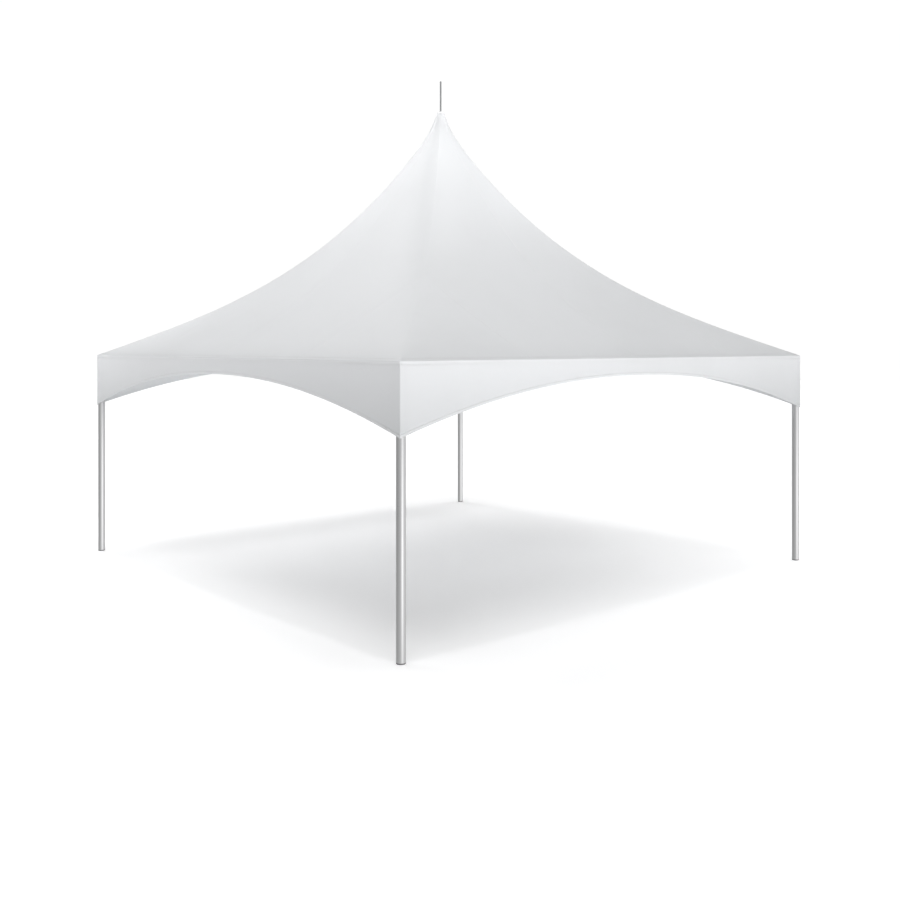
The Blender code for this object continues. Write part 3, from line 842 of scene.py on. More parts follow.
# %% [markdown]
# ## The eave binding
#
# Roof and valance are sewn together at the eave under one folded strip of cloth. The fold is not
# sharp: it turns over a few millimetres, and that is what catches the light along the eave. Each
# row of the strip is a distance up or down from the crease, and near the crease the rows are drawn
# inwards onto a smooth bend.

# %% Eave binding
FOLD = 6 * MM                 # distance from the crease within which the strip bends
FOLD_PULL = 0.25              # how far inwards the crease itself is drawn, in folds
BINDING_LAYER = {"thickness": 0.9 * MM, "offset": 1.0}
BINDING_LIFT = 0.15 * MM


def eave_binding_tree():
    """A strip folded over the crease, all the way round."""
    tree, given, outer = shape_tree("eave_binding", {"Columns": 257, "Rows": 25,
                                                     "Drop": 22 * MM, "Climb": 26 * MM})
    grid, around, up = unit_grid(given)
    side, swing = side_and_swing(around)
    turn = side * QUARTER + swing * (QUARTER / 2)
    reach = up * (given["Climb"] + given["Drop"]) - given["Drop"]
    flat = on_roof(reach.maths("MAXIMUM", 0.0) / HALF_SIDE, turn)
    hung = flat.vector("ADD", vector_of(tree, z=reach.maths("MINIMUM", 0.0)))
    above = on_roof(FOLD / HALF_SIDE, turn)
    inwards = above.vector("SUBTRACT", on_roof(0.0, turn)).vector("ADD", (0.0, 0.0, -FOLD))
    pull = reach.maths("ABSOLUTE").under(FOLD).maths("MAXIMUM", 0.0) ** 2 * (FOLD_PULL / FOLD ** 2)
    strip = laid(grid, around * (8 * HALF_SIDE), reach,
                 hung.vector("ADD", inwards.vector("SCALE", pull)))
    return end_tree(given, outer, lifted(strip, BINDING_LIFT))


binding_mesh = grown("eave_binding", eave_binding_tree(), BINDING_WHITE,
                     solidify=BINDING_LAYER)
eave_binding = keep_piece("eave_binding", binding_mesh, BINDING_WHITE)

# %% [markdown]
# ## The valance
#
# The valance is one strip of cloth that hangs from the eave all the way round, shallow over the
# middle of each side and deep at the corners. It is held along its top edge and at its corners, so
# it stays flat there, and it ripples by a millimetre or two lower down. One group knows the arch,
# the ripple and the corner, and lays the cloth, its folded hem and the rows of stitches.

# %% Geometry group: a point of the valance
RIPPLE = 6 * MM
RIPPLE_ALONG, RIPPLE_DOWN = 1.7, 0.7     # how quickly it changes along the side and down it
RIPPLE_SIDE = 23                         # far enough apart for each side to have its own
RIPPLE_MIDDLE = 0.42                     # the noise's value at which the cloth is flat
HEM_FREE = 3.0                           # one over the depth at which the ripple is full
HANG_POWER, TAUT_POWER = 1.3, 6          # how it grows downwards and fades at the corners


def arch_drop(along):
    """The valance's depth at a place along its side."""
    return (along.maths("ABSOLUTE") / HALF_SIDE) ** ARCH_POWER * (CORNER_DROP - MID_DROP) + MID_DROP


def valance_point_group():
    """A point of the valance, from its place along a side, its depth and how far it stands out."""
    tree, given, outer = new_tree(
        "valance_point", "GeometryNodeTree",
        {"Along": 0.0, "Side": 0.0, "Depth": 0.0, "Proud": 0.0}, {"Point": "Vector"})
    along, side, depth, proud = given.values()
    share = along.maths("ABSOLUTE") / HALF_SIDE
    taut = (share ** TAUT_POWER).under(1)
    hang = (depth * HEM_FREE).maths("MINIMUM", 1.0) ** HANG_POWER
    spot = vector_of(tree, along * RIPPLE_ALONG + side * RIPPLE_SIDE, depth * RIPPLE_DOWN)
    ripple = (noise(tree, spot, 1.0, 1.5, 0.4) - RIPPLE_MIDDLE) * RIPPLE * taut * hang
    wide = along * (proud * (1 / HALF_SIDE) + 1) * rounding(share)
    deep = (proud + ripple + HALF_SIDE) * rounding(share) * -1
    point = vector_of(tree, wide, deep, depth.under(EAVE_HEIGHT))
    feed(outer.inputs["Point"], value_of(tree, "ShaderNodeVectorRotate", {
        "Vector": point, "Angle": side * QUARTER}, rotation_type="Z_AXIS"))
    return tree


VALANCE_POINT = valance_point_group()


def on_valance(along, side, depth, proud):
    """A point of the valance, by its group."""
    return value_of(along.tree, "GeometryNodeGroup",
                    {"Along": along, "Side": side, "Depth": depth, "Proud": proud},
                    node_tree=VALANCE_POINT)


print("group", VALANCE_POINT.name, "has", len(VALANCE_POINT.nodes), "nodes")

# %% The valance cloth and its folded hem
VALANCE_GRID = {"Columns": 641, "Rows": 15}
HEM_WIDTH = 25 * MM
HEM_LAYER = {"thickness": 0.8 * MM, "offset": 1.0}
HEM_BELOW = 0.6 * MM          # how far the hem's fold lies below the cloth's edge
HEM_OUT = 0.65 * MM           # from the cloth's middle to the inner face of the hem
HEM_TURN = 30                 # how sharply the hem folds over


def valance_cloth_tree():
    """The whole strip, from under the eave binding to the arched edge."""
    tree, given, outer = shape_tree("valance_cloth", {**VALANCE_GRID, "Top": 4.5 * MM})
    grid, around, up = unit_grid(given)
    side, swing = side_and_swing(around)
    along = swing * HALF_SIDE
    depth = up.under(1) * (arch_drop(along) - given["Top"]) + given["Top"]
    return end_tree(given, outer, laid(grid, along + own_side(side) * SIDE_STEP, depth,
                                       on_valance(along, side, depth, 0.0)))


def valance_hem_tree():
    """A strip folded round the arched edge, from the inside down and up the outside."""
    tree, given, outer = shape_tree("valance_hem", {**VALANCE_GRID, "Width": HEM_WIDTH})
    grid, around, up = unit_grid(given)
    side, swing = side_and_swing(around)
    along = swing * HALF_SIDE
    fold = (up * 2 - 1) ** 3
    lift = fold.maths("ABSOLUTE") * given["Width"] - HEM_BELOW
    out = (fold * HEM_TURN).within(-1.0, 1.0) * HEM_OUT - CLOTH / 2
    return end_tree(given, outer, laid(grid, along + own_side(side) * SIDE_STEP,
                                       fold * given["Width"],
                                       on_valance(along, side, arch_drop(along) - lift, out)))


valance_mesh = grown("valance_cloth", valance_cloth_tree(), VALANCE_WHITE, solidify=THIN_CLOTH)
valance_cloth = keep_piece("valance_cloth", valance_mesh, VALANCE_WHITE,
                           ["valance_" + side for side in SIDES])
hem_mesh = grown("valance_hem", valance_hem_tree(), HEM_WHITE, solidify=HEM_LAYER)
valance_hem = keep_piece("valance_hem", hem_mesh, HEM_WHITE)

# %% [markdown]
# ## Stitches
#
# A tent maker's lockstitch is 7 or 8 mm long. Two rows run along the hem and one along the eave
# binding: about nine thousand stitches. One small capsule is placed at every step round the tent,
# tilted with the arch, so each stitch has only a few faces.

# %% Rows of stitches
STITCH_PITCH = 8 * MM
STITCH_CLEAR = 10 * MM                        # bare cloth at each end of a row
STITCH = (2.7 * MM, 0.45 * MM, 0.5 * MM)      # half its length, width and height
STITCH_ROWS = {
    "hem_stitches_low": {"Arch": 1.0, "Lift": 7 * MM, "Proud": 1.15 * MM},
    "hem_stitches_high": {"Arch": 1.0, "Lift": 20 * MM, "Proud": 1.15 * MM},
    "eave_stitches": {"Arch": 0.0, "Lift": -16 * MM, "Proud": 1.25 * MM},
}


def stitch_row_tree():
    """Stitches along each side, at a lift above the arch or, with no arch, below the eave."""
    tree, given, outer = shape_tree("stitch_row", {"Arch": 1.0, "Lift": 12 * MM,
                                                   "Proud": 1.3 * MM})
    each = int(2 * (HALF_SIDE - STITCH_CLEAR) / STITCH_PITCH)
    index = index_in(tree)
    side = ((index + 0.5) * (1 / each)).maths("FLOOR")
    along = (index - side * each - (each - 1) / 2) * STITCH_PITCH
    depth = arch_drop(along) * given["Arch"] - given["Lift"]
    steep = (along.maths("ABSOLUTE") / HALF_SIDE) ** (ARCH_POWER - 1) * along.maths("SIGN")
    slope = steep * given["Arch"] * ((CORNER_DROP - MID_DROP) * ARCH_POWER / HALF_SIDE)
    bead = value_of(tree, "GeometryNodeMeshIcoSphere", {"Radius": 1.0, "Subdivisions": 1})
    stitch = value_of(tree, "GeometryNodeTransform", {"Geometry": bead, "Scale": STITCH})
    return end_tree(given, outer, copies(
        stitch, 4 * each, on_valance(along, side, depth, given["Proud"]),
        vector_of(tree, 0.0, slope.maths("ARCTANGENT"), side * QUARTER)))


STITCH_TREE = stitch_row_tree()
stitching = [keep_piece(name, grown(name, STITCH_TREE, THREAD, sizes=sizes), THREAD)
             for name, sizes in STITCH_ROWS.items()]

# %% [markdown]
# ## Legs, feet and rails
#
# Legs and rails are one size of round aluminium tube, 80 mm across with a 3.2 mm wall. The plain
# model has 20 flat sides to each; here they are truly round, with eased ends. A plug foot of grey
# rubber has a flange with two moulded grooves under the tube, and barbs inside it.

# %% Tubes
TUBE_WALL = 3.2 * MM
AT_CORNER = Matrix.Translation((-RING_HALF, -RING_HALF, 0))


def tube(name, radius, low, high, steps=64):
    """A round tube along Z, its four rims eased."""
    bore = radius - TUBE_WALL
    middle = (low + high) / 2
    profile = [(radius, middle), (radius, low), (bore, low), (bore, high), (radius, high),
               (radius, middle)]
    return turned(name, softened(profile, 0.8 * MM), steps)


leg_mesh = tube("leg", TUBE_RADIUS, leg_low.z, leg_high.z)
keep_four("leg_tube", leg_mesh, DRAWN_ALUMINIUM, "leg", start=AT_CORNER)
rail_mesh = along_x(tube("rail", TUBE_RADIUS, rail_low.x, rail_high.x))
rail_mesh.transform(Matrix.Translation((0, -RING_HALF, RING_HEIGHT)))
keep_four("rail_tube", rail_mesh, DRAWN_ALUMINIUM, "eave_rail", SIDES)

# %% Rubber feet
foot_low, foot_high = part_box("leg_foot_front_left")
FLANGE = leg_low.z - foot_low.z - 0.3 * MM    # the tube stands just clear of it
PLUG_RADIUS = 36.0 * MM


def in_mm(*points, rise=0.0):
    """An outline written in millimetres, above a height in metres."""
    return [(x * MM, y * MM + rise) for x, y in points]


def foot_profile():
    """The foot's outer side, from the top of its plug down."""
    points = [(0, foot_high.z), (PLUG_RADIUS - 2 * MM, foot_high.z),
              (PLUG_RADIUS, foot_high.z - 6 * MM)]
    for barb in range(4):
        base = foot_high.z - (10 + 12 * barb) * MM
        points += [(PLUG_RADIUS, base), (PLUG_RADIUS - 1.5 * MM, base - 2 * MM)]
    points += [(PLUG_RADIUS, FLANGE), (TUBE_RADIUS, FLANGE)]
    for groove in (6.8 * MM, 4.2 * MM):
        points += [(TUBE_RADIUS, groove), (TUBE_RADIUS - 0.9 * MM, groove - 0.5 * MM),
                   (TUBE_RADIUS, groove - 1.0 * MM)]
    points += [(TUBE_RADIUS, 1.6 * MM), (TUBE_RADIUS - 1.6 * MM, 0.0)]
    return points + in_mm((26, 0), (25, 1.2), (0, 1.2))


foot_mesh = turned("foot", softened(foot_profile(), 0.5 * MM), 64)
keep_four("rubber_foot", foot_mesh, FOOT_RUBBER, "leg_foot", start=AT_CORNER)

# %% [markdown]
# ## Cast fittings
#
# The corner fittings and the mast's foot are sand castings. In a casting the metal runs round every
# joint in a fillet. So the plain shapes are laid into each other and wrapped in one skin by a voxel
# remesh, which melts the joints together, and the holes are drilled afterwards.

# %% Helpers for hardware
DIAGONAL = about_z(45)


def aimed(mesh, direction, place=(0, 0, 0)):
    """A mesh made along +Z, turned to a direction and moved to a place."""
    turn = Vector(direction).to_track_quat("Z", "Y").to_matrix().to_4x4()
    return moved(mesh, Matrix.Translation(place) @ turn)


def plate(name, outline, thickness):
    """A flat plate with an (x, z) outline, its thickness across Y."""
    shape = bmesh.new()
    near, far = [[shape.verts.new((x, y, z)) for x, z in outline]
                 for y in (-thickness / 2, thickness / 2)]
    shape.faces.new(near)
    shape.faces.new(far[::-1])
    for here in range(len(outline)):
        after = (here + 1) % len(outline)
        shape.faces.new((near[after], near[here], far[here], far[after]))
    bmesh.ops.recalc_face_normals(shape, faces=shape.faces)
    return mesh_of(name, shape)


def arc(centre, radius, start, end, steps):
    """Points of an arc, with angles in degrees from +X towards +Z."""
    angles = [math.radians(start + (end - start) * step / steps) for step in range(steps + 1)]
    return [(centre[0] + radius * math.cos(a), centre[1] + radius * math.sin(a)) for a in angles]


def cut(name, mesh, tools):
    """A mesh with other solids cut out of it."""
    cutter = bpy.data.objects.new("cutter", joined("cutter", tools))
    bpy.context.scene.collection.objects.link(cutter)
    result = settled(name, mesh, [
        ("BOOLEAN", {"operation": "DIFFERENCE", "solver": "EXACT", "object": cutter})])
    bpy.data.objects.remove(cutter, do_unlink=True)
    return result


def casting(name, solids, holes):
    """Overlapping solids wrapped in one cast skin, with holes drilled in it."""
    skin = settled(name, joined(name, solids), [
        ("REMESH", {"mode": "VOXEL", "voxel_size": 2.0 * MM, "use_smooth_shade": True}),
        ("SMOOTH", {"factor": 0.5, "iterations": 5}),
        ("DECIMATE", {"ratio": 0.4}),
    ])
    return smoothed(cut(name, skin, holes), 50)


def bevelled(name, mesh, width, steps=2):
    """A mesh with its sharp edges eased."""
    return smoothed(settled(name, mesh, [
        ("BEVEL", {"width": width, "segments": steps, "limit_method": "ANGLE",
                   "harden_normals": False})]), 35)


def rod(radius, low, high, steps=32, ease=0.0):
    """A plain round bar along Z."""
    profile = [(0, high), (radius, high), (radius, low), (0, low)]
    return turned("rod", softened(profile, ease) if ease else profile, steps)


print("hardware helpers are ready")

# %% Hexagon bolts
def hex_bolt(size):
    """A hexagon head on its washer, along +Z, for a thread of the given diameter."""
    head = 0.65 * size
    washer = 0.18 * size
    corner = 0.92 * size
    hexagon = [(0, washer + head), (corner * 0.80, washer + head), (corner, washer + head * 0.82),
               (corner, washer), (0, washer)]
    ring = [(0, washer), (size * 1.02, washer), (size * 1.08, washer * 0.6), (size * 1.08, 0),
            (0, 0)]
    return joined("bolt", [turned("head", hexagon, 6, 20), turned("washer", ring, 28),
                           rod(size / 2, -6 * MM, 1 * MM, 12)])


BOLT = hex_bolt(10 * MM)
print("a bolt has", triangles(BOLT), "triangles")

# %% Corner fittings
WAYS = ((1, 0, 0), (0, 1, 0), (0, 0, -1))     # the two rails and the leg, from the corner's middle
CORNER = Vector((-RING_HALF, -RING_HALF, RING_HEIGHT))
SPIGOT_RADIUS = 36.1 * MM
SPIGOT_END = 180 * MM
EAR_REACH = 100 * MM
EAR_BELOW = 36 * MM
EAR_THICK = 10 * MM
EAR_END = 19 * MM             # radius of an ear's round end
PIN_HOLE = 8.5 * MM


def ear(above, below, root, reach, drop):
    """A lug in the XZ plane that reaches out along +X to the hole for a cable's pin."""
    outline = [(root, below), (root, above)]
    return plate("ear", outline + arc((reach, -drop), EAR_END, 80, -110, 16), EAR_THICK)


def pin_hole(reach, height):
    """What is drilled out for a cable's pin."""
    return aimed(rod(PIN_HOLE, -20 * MM, 20 * MM), (0, 1, 0), (reach, 0, height))


def corner_casting():
    """The three-way casting of the front left corner, about the point where its axes meet."""
    collar = in_mm((0, 60), (38.5, 60), (38.5, 52), (36.8, 48), (36.8, 0), (0, 0))
    solids = [turned("ball", arc((0, 0), TUBE_RADIUS, 90, -90, 20), 40)]
    solids += [aimed(turned("collar", collar, 48), way) for way in WAYS]
    solids.append(moved(ear(4 * MM, -52 * MM, 18 * MM, EAR_REACH, EAR_BELOW), DIAGONAL))
    solids.append(moved(plate("web", in_mm((20, 0), (62, -12), (75, -45), (30, -50)), 18 * MM),
                        DIAGONAL))
    hole = moved(pin_hole(EAR_REACH, -EAR_BELOW), DIAGONAL)
    spigots = [aimed(rod(SPIGOT_RADIUS, 40 * MM, SPIGOT_END, 32, 3 * MM), way) for way in WAYS]
    return joined("corner_casting", [casting("corner_casting", solids, [hole]), *spigots])


corner_mesh = moved(corner_casting(), Matrix.Translation(CORNER))
keep_four("corner_casting", corner_mesh, CAST_ALUMINIUM, "corner_fitting")

# %% The bolts that hold the tubes on the spigots
BOLT_PLACES = (95 * MM, 150 * MM)     # along each tube, from the corner's middle
BOLT_SINK = 0.3 * MM                  # how deep a washer lies in the round of the tube


def four_copies_tree():
    """The given mesh at the front left, and turned to the other three corners."""
    tree, given, outer = shape_tree("four_copies", {})
    return end_tree(given, outer, on_four_sides(given["Geometry"]))


corner_bolts = []
inner = TUBE_RADIUS - BOLT_SINK
slant = inner * math.sqrt(0.5)
for reach in BOLT_PLACES:
    for way, place in (((0, 1, 0), (reach, inner, 0)), ((1, 0, 0), (inner, reach, 0)),
                       ((1, 1, 0), (slant, slant, -reach))):
        corner_bolts.append(aimed(BOLT.copy(), way, CORNER + Vector(place)))
bolt_mesh = grown("tube_bolts", four_copies_tree(), ZINC, start=joined("bolts", corner_bolts))
keep_piece("tube_bolts", bolt_mesh, ZINC)

# %% [markdown]
# ## The cross cables
#
# Each of the four cables runs from a corner down to the mast's foot. At the corner it starts with a
# fork, a threaded rod and a turnbuckle barrel, which is how the fitter pulls the roof tight. The
# rest is six-strand wire rope, pressed into a socket at each end. All of it is made along +X from
# a pin and then laid into place.

# %% Geometry trees for wire rope, threads and rings
STRANDS = 6


def swept(curve, wire, sides):
    """A round wire along a curve."""
    section = value_of(curve.tree, "GeometryNodeCurvePrimitiveCircle",
                       {"Resolution": sides, "Radius": wire})
    return value_of(curve.tree, "GeometryNodeCurveToMesh",
                    {"Curve": curve, "Profile Curve": section, "Fill Caps": True})


def wire_rope_tree():
    """Strands twisted together along +X."""
    tree, given, outer = shape_tree("wire_rope", {"Start": 0.1, "End": 3.6, "Radius": 5 * MM,
                                                  "Lay": 72 * MM, "Points": 480})
    line = value_of(tree, "GeometryNodeCurvePrimitiveLine", {
        "Start": vector_of(tree, given["Start"]), "End": vector_of(tree, given["End"])})
    fine = value_of(tree, "GeometryNodeResampleCurve", {"Curve": line, "Count": given["Points"]})
    x = parts_of(value_of(tree, "GeometryNodeInputPosition"))[0]
    twist = x * (2 * math.pi) / given["Lay"]
    out = given["Radius"] * (2 / 3)
    offset = vector_of(tree, 0.0, out * twist.maths("COSINE"), out * twist.maths("SINE"))
    helix = value_of(tree, "GeometryNodeSetPosition", {"Geometry": fine, "Offset": offset})
    strand = swept(helix, given["Radius"] * 0.35, 5)
    turn = vector_of(tree, index_in(tree) * (2 * math.pi / STRANDS))
    return end_tree(given, outer, copies(strand, STRANDS, turn=turn))


def screw_thread_tree():
    """The ridge of a screw thread, up the Z axis."""
    tree, given, outer = shape_tree("screw_thread", {"Radius": 6.3 * MM, "Length": 0.06,
                                                     "Turns": 25.0, "Ridge": 0.85 * MM})
    spiral = value_of(tree, "GeometryNodeCurveSpiral", {
        "Resolution": 18, "Rotations": given["Turns"], "Start Radius": given["Radius"],
        "End Radius": given["Radius"], "Height": given["Length"]})
    return end_tree(given, outer, swept(spiral, given["Ridge"], 4))


def wire_ring_tree():
    """A closed ring of round wire in the XY plane."""
    tree, given, outer = shape_tree("wire_ring", {"Radius": 11 * MM, "Wire": 0.9 * MM})
    circle = value_of(tree, "GeometryNodeCurvePrimitiveCircle",
                      {"Resolution": 28, "Radius": given["Radius"]})
    return end_tree(given, outer, swept(circle, given["Wire"], 8))


WIRE_ROPE, SCREW_THREAD, WIRE_RING = wire_rope_tree(), screw_thread_tree(), wire_ring_tree()
print("trees:", WIRE_ROPE.name, SCREW_THREAD.name, WIRE_RING.name)

# %% Forks and pins
FORK_WIDTH = 26.6 * MM
SLOT_WIDTH = 10.6 * MM


def fork_mesh():
    """A forged fork along +X, with its two cheeks about the pin at the origin."""
    outline = arc((0, 0), 15 * MM, 90, 270, 16)
    outline += in_mm((30, -15), (46, -11.5), (52, -11), (52, 11), (46, 11.5), (30, 15))
    slot = plate("slot", in_mm((-20, -20), (24, -20), (26, -18), (26, 18), (24, 20), (-20, 20)),
                 SLOT_WIDTH)
    return bevelled("fork", cut("fork", plate("fork", outline, FORK_WIDTH), [slot]), 1.6 * MM)


def pin_mesh():
    """A headed pin across Y, kept by a wire ring."""
    profile = in_mm((0, 18), (9, 18), (11.5, 16.5), (11.5, 13.4), (8, 13.4), (8, -19),
                    (6.8, -20.5), (0, -20.5))
    body = aimed(turned("pin", softened(profile, 0.7 * MM), 28), (0, -1, 0))
    ring = aimed(grown("ring", WIRE_RING, ZINC), (0, 1, 0), (0, 17 * MM, -11 * MM))
    return joined("pin", [body, ring])


FORK = joined("fork_and_pin", [fork_mesh(), pin_mesh()])
print("fork and pin:", triangles(FORK), "triangles")

# %% Turnbuckles
ROD_START = 42 * MM
BARREL_START = 95 * MM
BARREL_END = 335 * MM
BARREL_END_SHAPE = in_mm((0, 0), (13, 0), (15, 2), (17, 6), (17, 24), (16, 27))  # radius, depth


def tensioner_mesh():
    """Fork, threaded rod, lock nut and pipe turnbuckle, along +X from the corner's pin."""
    barrel = [(radius, BARREL_END - depth) for radius, depth in BARREL_END_SHAPE]
    barrel += [(radius, BARREL_START + depth) for radius, depth in BARREL_END_SHAPE[::-1]]
    middle = (BARREL_START + BARREL_END) / 2
    bar_hole = aimed(rod(6 * MM, -30 * MM, 30 * MM), (1, 0, 0), (0, 0, middle))
    pipe = smoothed(cut("barrel", turned("barrel", softened(barrel, 1.2 * MM)), [bar_hole]), 40)
    nut = turned("nut", in_mm((0, 12), (10.5, 12), (13, 10.6), (13, 1.4), (10.5, 0), (0, 0)), 6, 20)
    nut.transform(Matrix.Translation((0, 0, BARREL_START - 13 * MM)))
    core = rod(6.1 * MM, ROD_START, BARREL_START + 5 * MM, 20)
    ridge = grown("ridge", SCREW_THREAD, ZINC, sizes={"Length": 42 * MM, "Turns": 21.0})
    ridge.transform(Matrix.Translation((0, 0, ROD_START + 9 * MM)))
    return joined("tensioner", [FORK.copy(), along_x(joined("line", [pipe, nut, core, ridge]))])


tensioner = tensioner_mesh()
print("tensioner:", triangles(tensioner), "triangles")

# %% Cables laid into place
SOCKET_END = 110 * MM
SLEEVE = 65 * MM
GAP = 0.3 * MM                # between the barrel and the rope's sleeve
ROPE_STEP = 7.2 * MM          # between the points of a strand
FOOT_REACH = 92 * MM
FOOT_PIN_HEIGHT = 2.10
corner_out = RING_HALF - EAR_REACH * math.sqrt(0.5)
foot_out = FOOT_REACH * math.sqrt(0.5)
CORNER_PIN = Vector((-corner_out, -corner_out, RING_HEIGHT - EAR_BELOW))
FOOT_PIN = Vector((-foot_out, -foot_out, FOOT_PIN_HEIGHT))
RUN = FOOT_PIN - CORNER_PIN
DIP = math.atan2(-RUN.z, math.hypot(RUN.x, RUN.y))


def pressed_sleeve(radius, low, high, bands=4):
    """A pressed sleeve along Z, with the marks that the dies leave between its bands."""
    pitch = (high - low) / bands
    profile = [(0, high), (radius * 0.72, high), (radius * 0.97, high - 3 * MM)]
    for band in range(bands):
        top = high - band * pitch
        if band:
            profile += [(radius * 0.94, top + 1.2 * MM), (radius * 0.94, top - 1.2 * MM)]
            profile.append((radius, top - 2.0 * MM))
        profile.append((radius, top - pitch + 2.0 * MM))
    profile += [(radius * 0.97, low + 1 * MM), (radius * 0.9, low), (0, low)]
    return turned("sleeve", softened(profile, 0.6 * MM), 32)


def cable_mesh():
    """Fork, pressed socket, wire rope and pressed sleeve, along +X from the foot's pin."""
    end = RUN.length - BARREL_END - GAP
    socket = along_x(pressed_sleeve(11 * MM, 50 * MM, SOCKET_END))
    sleeve = along_x(pressed_sleeve(10 * MM, end - SLEEVE, end))
    start, stop = SOCKET_END / 2, end - SLEEVE / 2
    rope = grown("rope", WIRE_ROPE, WIRE_STEEL, sizes={
        "Start": start, "End": stop, "Points": int((stop - start) / ROPE_STEP)})
    return joined("cable", [FORK.copy(), socket, sleeve, rope])


def dipped(mesh, place, dip, heading):
    """A mesh made along +X, dipped, turned to its heading and moved to its place."""
    turn = about_z(heading) @ Matrix.Rotation(dip, 4, "Y")
    return moved(mesh, Matrix.Translation(place) @ turn)


keep_four("tensioner", dipped(tensioner, CORNER_PIN, DIP, 45), ZINC,
          "cable_tensioner")
keep_four("wire_rope", dipped(cable_mesh(), FOOT_PIN, -DIP, 225), WIRE_STEEL,
          "cross_cable")
print("each cable runs", round(RUN.length, 3), "m from pin to pin")

# %% [markdown]
# ## The mast
#
# The mast stands on a cast foot that hangs where the four cables meet. At its top, a cast cone with
# ribs inside spreads the cloth, and a white cap closes the peak round the grey pin.

# %% Mast foot
foot_box_low, foot_box_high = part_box("mast_foot")
FLANGE_TOP = 2.140
MAST_RADIUS = 25.4 * MM
MAST_PLUG = MAST_RADIUS - 3.5 * MM    # radius of what stands in the mast's two ends


def mast_foot_casting():
    """A boss with four ears for the cables and a flange for the mast."""
    base = foot_box_low.z
    boss = in_mm((0, 0), (46, 0), (48, -2), (48, -10), (38, -15), rise=FLANGE_TOP)
    boss += in_mm((38, 6), (32, 0), (0, 0), rise=base)
    solids, holes = [turned("boss", boss)], []
    lift = Matrix.Translation((0, 0, FOOT_PIN.z))
    for index in range(4):
        turn = about_z(45 + 90 * index)
        lug = moved(ear(22 * MM, -26 * MM, 20 * MM, FOOT_REACH, 0), lift)
        solids.append(moved(lug, turn))
        holes.append(moved(pin_hole(FOOT_REACH, FOOT_PIN.z), turn))
    plug = rod(MAST_PLUG, FLANGE_TOP - 10 * MM, foot_box_high.z, 32, 3 * MM)
    bolt = aimed(hex_bolt(16 * MM), (0, 0, -1), (0, 0, base + 0.5 * MM))
    return joined("mast_foot_casting", [casting("mast_foot_casting", solids, holes), plug, bolt])


keep_piece("mast_foot_casting", mast_foot_casting(), CAST_ALUMINIUM,
           ["mast_foot"])

# %% Mast tube and its head
mast_low, mast_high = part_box("mast_tube")
head_low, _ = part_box("mast_head")
mast_mesh = tube("mast", MAST_RADIUS, mast_low.z, mast_high.z, 56)
keep_piece("mast_pipe", mast_mesh, DRAWN_ALUMINIUM, ["mast_tube"])
HEAD_WALL = 6 * MM
HEAD_GAP = 3.2 * MM           # between the cone and the outer face of the cloth
HEAD_FROM = 0.972             # part of the hip at which the cone's rim lies
HEAD_STEPS = 12


def mast_head_mesh():
    """A cone under the cloth on a short neck, with eight ribs inside it."""
    outer, inner = [], []
    for step in range(HEAD_STEPS + 1):
        part = ROOF_TOP + (HEAD_FROM - ROOF_TOP) * step / HEAD_STEPS
        radius = (1 - part) * HALF_SIDE * 2 ** softness_at(part) - HEAD_GAP
        height = EAVE_HEIGHT + rise_at(part) + TIP_RISE * part ** TIP_POWER
        outer.append((radius, height - 2 * MM))
        inner.append((radius - HEAD_WALL, height - 4 * MM))
    crown = outer[0][1]
    rim = (outer[-1][0] - 0.3 * HEAD_WALL, outer[-1][1] - 4 * MM)
    neck = MAST_RADIUS + 6 * MM
    neck_low = crown - 60 * MM
    inner = [point for point in inner if point[1] < crown - 30 * MM]
    profile = [(0, crown), *outer, rim, *inner[::-1], (neck + 4 * MM, crown - 30 * MM),
               (neck, crown - 36 * MM), (neck, neck_low), (0, neck_low)]
    meshes = [turned("cone", softened(profile, 1.5 * MM), 72)]
    rib = [(neck - 4 * MM, crown - 28 * MM), (inner[0][0] + 2 * MM, crown - 28 * MM)]
    rib += [(radius + 2 * MM, height) for radius, height in inner[1:-1]]
    rib += [(inner[-2][0] - 12 * MM, inner[-2][1] + 2 * MM), (neck - 4 * MM, neck_low + 6 * MM)]
    for index in range(8):
        blade = bevelled("rib", plate("rib", rib, 5 * MM), 1 * MM, 1)
        meshes.append(moved(blade, about_z(22.5 + 45 * index)))
    meshes.append(rod(MAST_PLUG, head_low.z, neck_low + 1 * MM, 32, 3 * MM))
    return joined("mast_head", meshes)


keep_piece("mast_head_casting", mast_head_mesh(), CAST_ALUMINIUM, ["mast_head"])

# %% Cap and pin
cap_low, cap_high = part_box("peak_cap")
pin_low, pin_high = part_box("top_pin")
PIN_RADIUS = (pin_high.x - pin_low.x) / 2
PIN_COLLAR = PIN_RADIUS + 2 * MM


def cap_profile():
    """A shallow moulded cap with a lip over the cloth and a small boss round the pin."""
    crown = in_mm((0, 3), (16, 3), (18, 0.5), (27, 0), (36, -2), (43, -7), rise=cap_high.z)
    base, rim = cap_low.z, cap_high.x
    lip = rim + 0.6 * MM
    return crown + [(rim, base + 12 * MM), (lip, base + 4 * MM), (lip, base),
                    (rim - 4 * MM, base - 0.5 * MM), (0, base)]


def pin_profile():
    """A plain pin with a round tip, standing in a collar on the cap."""
    top = cap_high.z
    return arc((0, pin_high.z - PIN_RADIUS), PIN_RADIUS, 90, 0, 10) + [
        (PIN_RADIUS, top + 12 * MM), (PIN_COLLAR, top + 11 * MM), (PIN_COLLAR, top + 3.2 * MM),
        (8 * MM, top + 3.2 * MM), (8 * MM, pin_low.z), (0, pin_low.z)]


cap_mesh = turned("cap", softened(cap_profile(), 3 * MM, 4), 64)
keep_piece("peak_cap_moulding", cap_mesh, CAP_WHITE, ["peak_cap"])
keep_piece("top_pin_rod", turned("pin", pin_profile(), 40), PIN_GREY, ["top_pin"])

